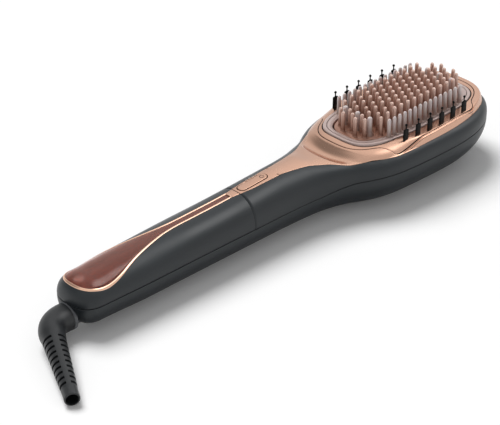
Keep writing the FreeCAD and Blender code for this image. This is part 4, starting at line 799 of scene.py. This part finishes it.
def spunPin(bm, x, y, profile, steps):
    # a profile of (radius, level) spun about the pin's own axis
    verts = [bm.verts.new((x + r, y, z)) for r, z in profile]
    edges = [bm.edges.new(pair) for pair in zip(verts, verts[1:])]
    bmesh.ops.spin(bm, geom=verts + edges, cent=(x, y, 0), axis=(0, 0, 1), angle=2 * math.pi, steps=steps,
                   use_merge=True)


def pinSpots():
    spots = []
    for row in range(-3, 4):
        for k in range(-8, 9):
            x = plate["firstX"] + (k + (0.5 if row % 2 else 0.0)) * plate["pitch"]
            y = row * plate["rowPitch"]
            shares = abs(x) / plate["fieldHalfA"], abs(y) / plate["fieldHalfB"]
            inside = sum(share ** head["ringPower"] for share in shares) < 1.0
            if inside and all(math.hypot(x - a, y - b) > plate["steamRoom"] for a, b in plate["steamPins"]):
                spots.append((x, y))
    return spots


def pinShort(x):
    # pins near both ends of the field are shorter
    return 2.4 if x < -26.0 else 1.2 if x < -20.0 or x > 36.0 else 0.0


def buildPlate():
    bm = bmesh.new()
    outline = ringOutline(plate["length"], plate["width"], 160)
    top, floor, spine = plate["top"], head["floorZ"], plate["spineHalf"]
    ribs = []
    for x, y in outline + outline[:1]:
        rimAt, middle = Vector((x, y, 0)), Vector((min(max(x, -spine), spine), 0, 0))
        rows = ((middle, floor), (rimAt, floor), (rimAt, top - 0.3), (rimAt.lerp(middle, 0.02), top),
                (rimAt.lerp(middle, 0.5), top), (middle, top))
        ribs.append([p + Vector((0, 0, z)) for p, z in rows])
    patch(bm, ribs)
    for x, y in pinSpots():
        r, tall = plate["pinR"], top + plate["pinTall"] - pinShort(x)
        spunPin(bm, x, y, [(r * 1.35, top - 0.05), (r * 1.12, top + 0.35), (r, top + 1.0),
                           (r * 0.97, top + 7.0), (r * 0.93, tall - 1.3), (r * 0.84, tall - 0.7),
                           (r * 0.6, tall - 0.22), (0.0, tall)], 14)
    closeUp(bm, 0.002)
    piece = makePiece(bm, "pinPlate", "root", "copperPin", weld=0.0, angle=50)
    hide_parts("pin_plate")
    return piece


def buildSteamPins():
    bm = bmesh.new()
    top = plate["top"]
    for x, y in plate["steamPins"]:
        spunPin(bm, x, y, [(2.6, top - 0.05), (2.5, top + 0.3), (1.75, top + 1.7), (1.55, top + 2.4),
                           (1.5, top + 5.0), (1.45, top + 10.2), (1.25, top + 10.9), (0.8, top + 11.3),
                           (0.0, top + 11.5)], 20)
    closeUp(bm, 0.002)
    piece = makePiece(bm, "steamPins", "root", "pearl", weld=0.0, angle=50)
    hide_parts("steam_pins")
    return piece


bristles = {
    "count": 6, "middleX": 1.3, "pitch": 10.0, "rowY": 28.15, "bow": 0.074,
    # level, half length, half depth and squareness: a flat blade, a thin neck and a ball
    "rows": [(33.0, 2.0, 0.55, 6), (43.8, 1.95, 0.52, 6), (44.15, 1.75, 0.48, 5), (44.4, 0.5, 0.42, 3),
             (44.7, 0.4, 0.38, 2), (46.3, 0.36, 0.36, 2), (46.44, 0.55, 0.55, 2), (46.7, 0.72, 0.72, 2),
             (47.05, 0.8, 0.8, 2), (47.4, 0.7, 0.7, 2), (47.68, 0.44, 0.44, 2), (47.8, 0.1, 0.1, 2)],
}


def buildBristles(side, nodeName):
    bm = bmesh.new()
    for k in range(bristles["count"]):
        step = k - (bristles["count"] - 1) / 2
        x = bristles["middleX"] + step * bristles["pitch"]
        y = side * (bristles["rowY"] - bristles["bow"] * step * step)
        rings = []
        for z, half, deep, power in bristles["rows"]:
            ring = [squircle(2 * math.pi * j / 16, half, deep, power) for j in range(16)]
            rings.append([Vector((x + px, y + py, z)) for px, py in ring])
        stackRings(bm, rings)
    bmesh.ops.recalc_face_normals(bm, faces=bm.faces[:])
    piece = makePiece(bm, "bristles" + ("Left" if side > 0 else "Right"), "root", "blackBristle",
                      weld=0.0, angle=55)
    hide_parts(nodeName)
    return piece


buildComb()
buildPlate()
buildSteamPins()
buildBristles(1, "bristle_strip_left")
buildBristles(-1, "bristle_strip_right")
print("comb, plate and pins made")


def buildButton():
    bm = bmesh.new()
    reach = 7.5      # half length of the line that the sheet closes on
    outline = buttonOutline()
    middle = [(min(max(x, button["x"] - reach), button["x"] + reach), 0.0) for x, _ in outline]
    sheetBetween(bm, outline, middle, 8, lambda x, y: topZ(x, y) + button["proud"], rollInner=False)
    faceUp(bm)
    piece = makePiece(bm, "pressButton", "button", "roseGold", angle=50)
    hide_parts("push_button")
    return thicken(piece, button["wall"])


def strokeRibs(points, halfWidth=0.16):
    # a thin raised line on the button
    ribs = []
    for (xa, ya), (x, y), (xb, yb) in zip(points[:1] + points[:-1], points, points[1:] + points[-1:]):
        way = Vector((xb - xa, yb - ya, 0)).normalized()
        across = Vector((-way.y, way.x, 0)) * halfWidth
        rib = []
        for t, up in ((-1, -0.05), (-1, 0.03), (1, 0.03), (1, -0.05)):
            at = Vector((x, y, 0)) + across * t
            rib.append(Vector((at.x, at.y, topZ(at.x, at.y) + button["proud"] + up)))
        ribs.append(rib)
    return ribs


def buildMark():
    # the usual on and off sign: a broken ring with a stroke in its opening
    bm = bmesh.new()
    x, r = button["markX"], button["markR"]
    ring = [math.radians(a) for a in spread(40, 320, 28)]
    patch(bm, strokeRibs([(x + r * math.cos(a), r * math.sin(a)) for a in ring]))
    patch(bm, strokeRibs([(x + r * t, 0.0) for t in spread(0.25, 1.25, 4)]))
    faceUp(bm)
    return makePiece(bm, "buttonMark", "button", "gapShadeAndPrint", weld=0.0)


def buildLightWindows():
    bm = bmesh.new()
    for x in lights["xs"]:
        centre = Vector((x, lights["y"], 0))
        ribs = []
        for a in spread(0, 2 * math.pi, 24):
            edge = centre + Vector((*squircle(a, lights["halfA"], lights["halfB"], 5), 0))
            rib = [(edge, -0.4), (edge, 0.02), (edge.lerp(centre, 0.12), 0.05), (edge.lerp(centre, 0.5), 0.06),
                   (centre, 0.06)]
            ribs.append([Vector((p.x, p.y, topZ(p.x, p.y) + up)) for p, up in rib])
        patch(bm, ribs)
    faceUp(bm, 0.002)
    return makePiece(bm, "lightWindows", "root", "clearGuide", weld=0.0)


buildButton()
buildMark()
buildLightWindows()


tank = {
    "skirtZ": 17.88, "frontX": -130.15, "trim": 1.1, "endX": -246.3, "wall": 1.0, "splineSteps": 12,
    "slotX": -135.0, "slotHalf": 2.8, "slotRound": 0.55, "plateHalf": 3.3,
    "window": [(-246.3, 0.0), (-245.3, 5.8), (-242.5, 9.9), (-238.0, 12.2), (-232.0, 13.0), (-226.0, 12.7),
               (-220.0, 11.6), (-214.0, 9.9), (-207.0, 8.0), (-199.0, 6.2), (-191.0, 4.6), (-184.0, 3.5),
               (-176.0, 2.9), (-160.0, 2.8), (-135.0, 2.8)],
}


def splineThrough(corners, steps):
    # centripetal spline through the corners; its first and last spans have no corner beyond them
    def knotGap(a, b):
        return max(1e-4, math.hypot(b[0] - a[0], b[1] - a[1])) ** 0.5
    points, last = [], len(corners) - 2
    for k in range(last + 1):
        p0, p1, p2, p3 = (corners[min(max(k + d, 0), last + 1)] for d in (-1, 0, 1, 2))
        t0, t1 = 0.0, knotGap(p0, p1)
        t2 = t1 + knotGap(p1, p2)
        t3 = t2 + knotGap(p2, p3)
        for j in range(steps):
            t = t1 + (t2 - t1) * j / steps

            def mix(a, b, ta, tb):
                w = (t - ta) / (tb - ta)
                return (a[0] * (1 - w) + b[0] * w, a[1] * (1 - w) + b[1] * w)
            a1, a2, a3 = mix(p0, p1, t0, t1), mix(p1, p2, t1, t2), mix(p2, p3, t2, t3)
            if k == 0:
                points.append(mix(a2, a3, t1, t3))
            elif k == last:
                points.append(mix(a1, a2, t0, t2))
            else:
                points.append(mix(mix(a1, a2, t0, t2), mix(a2, a3, t1, t3), t1, t2))
    return points + [corners[-1]]


def windowOutline():
    # closed outline of the window in plan, with a rounded end at the slot
    corners = tank["window"][::-1]
    corners += [(x, -y) for x, y in tank["window"][1:]]
    half = tank["slotHalf"]
    return (splineThrough(corners, tank["splineSteps"])
            + [(tank["slotX"] + tank["slotRound"] * math.sin(math.pi * t), -half + 2 * half * t)
               for t in spread(0, 1, 10)[1:-1]])


windowPath = windowOutline()
print("window outline:", len(windowPath), "points")


def windowHalf(x, grow=0.0):
    if x < tank["endX"] - grow or x > tank["slotX"] + 0.4 + grow:
        return -1.0
    best = 0.0
    for (xa, ya), (xb, yb) in zip(windowPath, windowPath[1:]):
        if min(xa, xb) <= x <= max(xa, xb) and abs(xb - xa) > 1e-9 and ya >= -1e-6 and yb >= -1e-6:
            best = max(best, ya + (yb - ya) * (x - xa) / (xb - xa))
    return best + grow


def coverHalf(x):
    # half width of the cover's opening: the window, then the slot that the front plate fills
    plateX = tank["slotX"] - 0.5
    if x > plateX:
        share = min(1.0, (x - plateX) / (tank["frontX"] - plateX))
        return tank["slotHalf"] + (tank["plateHalf"] - tank["slotHalf"]) * share * share * (3 - 2 * share)
    return windowHalf(max(x, tank["endX"] + 0.01)) if x > tank["endX"] else -1.0


def buildTankCover():
    bm = bmesh.new()
    for side in (1, -1):
        front = [(("side", x, side), inset) for x, inset in ((-130.1, 1.2), (-130.1, 0.08), (-130.14, 0.02))]
        back = sideStops([-130.22] + spread(-131.0, -235.0, 96), side)
        back += fanStops("tail", 36, 90, 180, side)[1:]
        ribs = []
        for stop, moveIn in front + [(stop, 0.0) for stop in back]:
            low = levelOf(stop, lambda x: tank["skirtZ"])
            high = edgeOf(stop, lambda x, y: y < coverHalf(x))
            span = high - low
            edge = min(0.006, span * 0.12)
            rows = [(low, 1.0), (low, 0.12), (low + 0.0018, 0.03), (low + 0.006, 0.0)]
            rows += [(q, 0.0) for q in spread(low + min(0.014, span * 0.15), high - 2 * edge, 20)]
            rows += [(high - edge, 0.0), (high - 0.3 * edge, 0.03), (high, 0.12), (high, 1.2)]
            ribs.append([formPoint(stop, q, max(inset, moveIn)) for q, inset in rows])
        patch(bm, ribs)
    faceAway(bm, (-190, 0, 14), 0.004)
    piece = makePiece(bm, "tankCover", "tank", "softShell", weld=0.0)
    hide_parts("tank_cover")
    return thicken(piece, tank["wall"])


def buildWindowTrim():
    bm = bmesh.new()
    width = tank["trim"]
    rows = [(0.08, -1.2), (0.08, 0.0), (0.14, 0.12), (0.32, 0.2), (width * 0.55, 0.22), (width - 0.3, 0.18),
            (width - 0.1, 0.08), (width, -0.05), (width, -1.3)]
    sign = 1 if moved(windowPath, 1.0)[40][1] > windowPath[40][1] else -1
    paths = [(moved(windowPath, -sign * inset), up) for inset, up in rows]
    paths = [[Vector((x, y, formZ(x, y, 0.0, True) + up)) for x, y in path + path[:1]] for path, up in paths]
    patch(bm, [list(rib) for rib in zip(*paths)])
    faceUp(bm, 0.004)
    piece = makePiece(bm, "windowTrim", "tank", "roseTrim", weld=0.0, angle=60)
    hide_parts("window_trim")
    return thicken(piece, 0.3)


def buildSlotPlate():
    # carries the rose gold strip on from the seam to the slot
    bm = bmesh.new()
    ribs = []
    for x in spread(-130.12, -134.9, 12):
        half = coverHalf(x) - 0.08
        ribs.append([Vector((x, half * t, formZ(x, half * t, 0.0, True) + 0.02)) for t in spread(-1, 1, 12)])
    patch(bm, ribs)
    faceUp(bm)
    return thicken(makePiece(bm, "slotPlate", "tank", "roseGold", weld=0.0), 0.4)


def buildVessel():
    # the lens of the tank, flush with the trim
    bm = bmesh.new()
    inset, roundX, roundR = tank["trim"] + 0.05, -236.0, 9.0
    xs = spread(-136.2, roundX, 110)
    xs += [roundX - roundR * math.sin(math.radians(a)) for a in spread(0, 90, 20)[1:]]
    ribs = []
    for x in xs:
        half = max(0.0, windowHalf(x, -inset)) if x > roundX - roundR else 0.0
        ribs.append([Vector((x, half * t, formZ(x, half * t, 0.05, True))) for t in spread(-1, 1, 24)])
    patch(bm, ribs)
    faceUp(bm, 0.004)
    piece = makePiece(bm, "tankLens", "tank", "smokedWindow", weld=0.0, angle=60)
    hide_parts("tank_reservoir")
    return thicken(piece, tank["wall"])


buildTankCover()
buildWindowTrim()
buildSlotPlate()
buildVessel()
print("tank made")


boot = {
    "face": -249.6, "elbow": (-260.5, 0.0, 9.7), "way": (-0.4645, -0.8796, -0.0957), "bend": 8.5, "stubR": 7.6,
    "radii": [(0.0, 7.2), (8.5, 6.9), (12.0, 6.35), (14.5, 6.15), (50.0, 4.3), (52.0, 4.1), (60.0, 4.1)],
    "length": 58.0, "boreR": 3.3, "boreDepth": 7.0, "mouthR": 3.85, "firstSlot": 14.5, "pitch": 3.8, "slot": 1.5,
    "slots": 10, "slotDepth": 2.0, "spine": 17.0,
}


def bootStations():
    # (centre, axis, radius, radius in a slot) down the moulding from its face to the open end
    elbow, way = Vector(boot["elbow"]), Vector(boot["way"]).normalized()
    back, bend = Vector((-1, 0, 0)), boot["bend"]
    rows = [(Vector((boot["face"], 0, elbow.z)), back, r, r) for r in (0.0, boot["stubR"] - 0.2)]
    rows += [(Vector((x, 0, elbow.z)), back, boot["stubR"], boot["stubR"])
             for x in (boot["face"] - 0.2, elbow.x + bend)]
    for t in spread(0, 1, 14)[1:]:
        a, b = elbow - back * bend, elbow + way * bend
        centre = a * (1 - t) ** 2 + elbow * 2 * t * (1 - t) + b * t * t
        axis = ((elbow - a) * (1 - t) + (b - elbow) * t).normalized()
        r = boot["stubR"] + (tableValue(boot["radii"], bend) - boot["stubR"]) * t
        rows.append((centre, axis, r, r))
    levels = [(10.0, False), (12.0, False)]
    for k in range(boot["slots"]):
        start = boot["firstSlot"] + k * boot["pitch"]
        levels += [(start - 0.12, False), (start, False), (start + 0.02, True), (start + boot["slot"], True),
                   (start + boot["slot"] + 0.02, False), (start + boot["slot"] + 0.14, False)]
    levels += [(51.8, False), (52.2, False), (boot["length"] - 0.3, False)]
    for level, cutIn in levels:
        r = tableValue(boot["radii"], level)
        rows.append((elbow + way * level, way, r, r - boot["slotDepth"] if cutIn else r))
    end, bore, bottom = boot["length"], boot["boreR"], boot["length"] - boot["boreDepth"]
    for level, r in ((end, boot["mouthR"]), (end, bore), (bottom, bore), (bottom, 0.0)):
        rows.append((elbow + way * level, way, r, r))
    return rows


def buildBoot():
    bm = bmesh.new()
    edges = [boot["spine"], 180 - boot["spine"], 180 + boot["spine"], 360 - boot["spine"]]
    turns = sorted(set(spread(0, 360, 60)) | {e + d for e in edges for d in (-0.8, 0.8)})
    turns = [a for a in turns if all(abs(a - e) > 0.5 for e in edges)]
    rows = bootStations()
    ribs = []
    for a in turns:
        cutSide = boot["spine"] < a % 180 < 180 - boot["spine"]
        rib = []
        for centre, axis, r, slotR in rows:
            side = axis.cross(Vector((0, 0, 1))).normalized()
            lift = side.cross(axis)
            way = lift * math.cos(math.radians(a)) + side * math.sin(math.radians(a))
            rib.append(centre + way * (slotR if cutSide else r))
        ribs.append(rib)
    patch(bm, ribs)
    closeUp(bm, 0.004)
    piece = makePiece(bm, "cordBoot", "swivel", "blackRubber", weld=0.0, angle=35)
    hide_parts("strain_relief")
    return piece


buildBoot()
print("boot made")


studio = {
    "cameraAt": (-0.7356, -0.6424, 0.5551),
    "right": (0.7216, -0.6924, 0.0), "up": (0.358, 0.373, 0.856), "back": (-0.5927, -0.6177, 0.5170),
    "lens": 136.08,
    "sun": {"from": (0.05, 0.5, 0.86), "softness": 0.6, "strength": 2.5},
    "ambient": 0.34, "floorColour": 0.96, "lift": 0.05,
    # sides of the room that reflections show: direction, where it starts and is full, strength at both
    "darkSide": ((-0.508, 0.61, 0.61), 0.66, 0.95, 0.85, 0.36),
    "brightSide": ((0.62, 0.12, 0.77), 0.7, 0.97, 0.0, 0.3),
    "stripeSide": ((0.59, -0.33, 0.74), 0.93, 1.0, 0.0, 3.6),
}


def buildFloor():
    bm = bmesh.new()
    bmesh.ops.create_grid(bm, x_segments=8, y_segments=8, size=3.0)
    mesh = bpy.data.meshes.new("studioFloor")
    bm.to_mesh(mesh)
    bm.free()
    floor = bpy.data.objects.new("studioFloor", mesh)
    bpy.context.scene.collection.objects.link(floor)
    material = bpy.data.materials.new("studioFloor")
    material.use_nodes = True
    nodes, link = material.node_tree.nodes, material.node_tree.links.new
    shader = nodes["Principled BSDF"]
    shader.inputs["Roughness"].default_value = 0.9
    shader.inputs["Specular IOR Level"].default_value = 0.1
    shader.inputs["Base Color"].default_value = (*[studio["floorColour"]] * 3, 1)
    path = nodes.new("ShaderNodeLightPath")
    lift = nodes.new("ShaderNodeMath")
    lift.operation = "MULTIPLY"
    lift.inputs[1].default_value = studio["lift"]
    link(path.outputs["Is Camera Ray"], lift.inputs[0])
    shader.inputs["Emission Color"].default_value = (1, 1, 1, 1)
    link(lift.outputs["Value"], shader.inputs["Emission Strength"])
    mesh.materials.append(material)


def buildWorld():
    # even light from all round, and for reflections a bright room with a darker side and a bright stripe
    world = bpy.data.worlds.new("studioAir")
    bpy.context.scene.world = world
    world.use_nodes = True
    nodes, link = world.node_tree.nodes, world.node_tree.links.new
    background = nodes["Background"]
    background.inputs["Color"].default_value = (1, 1, 1, 1)
    path, place = nodes.new("ShaderNodeLightPath"), nodes.new("ShaderNodeTexCoord")

    def towards(direction, start, end, low, high):
        lean = nodes.new("ShaderNodeVectorMath")
        lean.operation = "DOT_PRODUCT"
        lean.inputs[1].default_value = direction
        link(place.outputs["Generated"], lean.inputs[0])
        ramp = nodes.new("ShaderNodeMapRange")
        ramp.interpolation_type = "SMOOTHSTEP"
        for label, value in (("From Min", start), ("From Max", end), ("To Min", low), ("To Max", high)):
            ramp.inputs[label].default_value = value
        link(lean.outputs["Value"], ramp.inputs["Value"])
        return ramp.outputs["Result"]

    def sumOf(a, b, operation="ADD"):
        node = nodes.new("ShaderNodeMath")
        node.operation = operation
        link(a, node.inputs[0])
        link(b, node.inputs[1])
        return node.outputs["Value"]

    def chosen(factor, a, b):
        node = nodes.new("ShaderNodeMix")
        link(factor, node.inputs["Factor"])
        for label, value in (("A", a), ("B", b)):
            if isinstance(value, float):
                node.inputs[label].default_value = value
            else:
                link(value, node.inputs[label])
        return node.outputs["Result"]
    stripe, dark, bright = (towards(*studio[side]) for side in ("stripeSide", "darkSide", "brightSide"))
    room = sumOf(dark, sumOf(stripe, bright))
    mirrored = sumOf(path.outputs["Is Glossy Ray"], path.outputs["Is Transmission Ray"], "MAXIMUM")
    link(chosen(path.outputs["Is Camera Ray"], chosen(mirrored, studio["ambient"], room), 1.0),
         background.inputs["Strength"])


def buildSun():
    data = bpy.data.lights.new("softKey", "SUN")
    data.energy, data.angle = studio["sun"]["strength"], studio["sun"]["softness"]
    lamp = bpy.data.objects.new("softKey", data)
    bpy.context.scene.collection.objects.link(lamp)
    lamp.rotation_euler = (-Vector(studio["sun"]["from"])).to_track_quat("-Z", "Y").to_euler()
    lamp.visible_glossy = False


def buildCamera():
    data = bpy.data.cameras.new("studioCamera")
    data.lens = studio["lens"]
    data.sensor_width = 36
    data.clip_start, data.clip_end = 0.05, 20
    camera = bpy.data.objects.new("studioCamera", data)
    bpy.context.scene.collection.objects.link(camera)
    right, up, back = (Vector(studio[k]).normalized() for k in ("right", "up", "back"))
    turn = Matrix((right, up, back)).transposed().to_4x4()
    camera.matrix_world = Matrix.Translation(studio["cameraAt"]) @ turn
    bpy.context.scene.camera = camera


buildFloor()
buildWorld()
buildSun()
buildCamera()
bpy.context.scene.view_settings.view_transform = "Standard"
print("studio made")
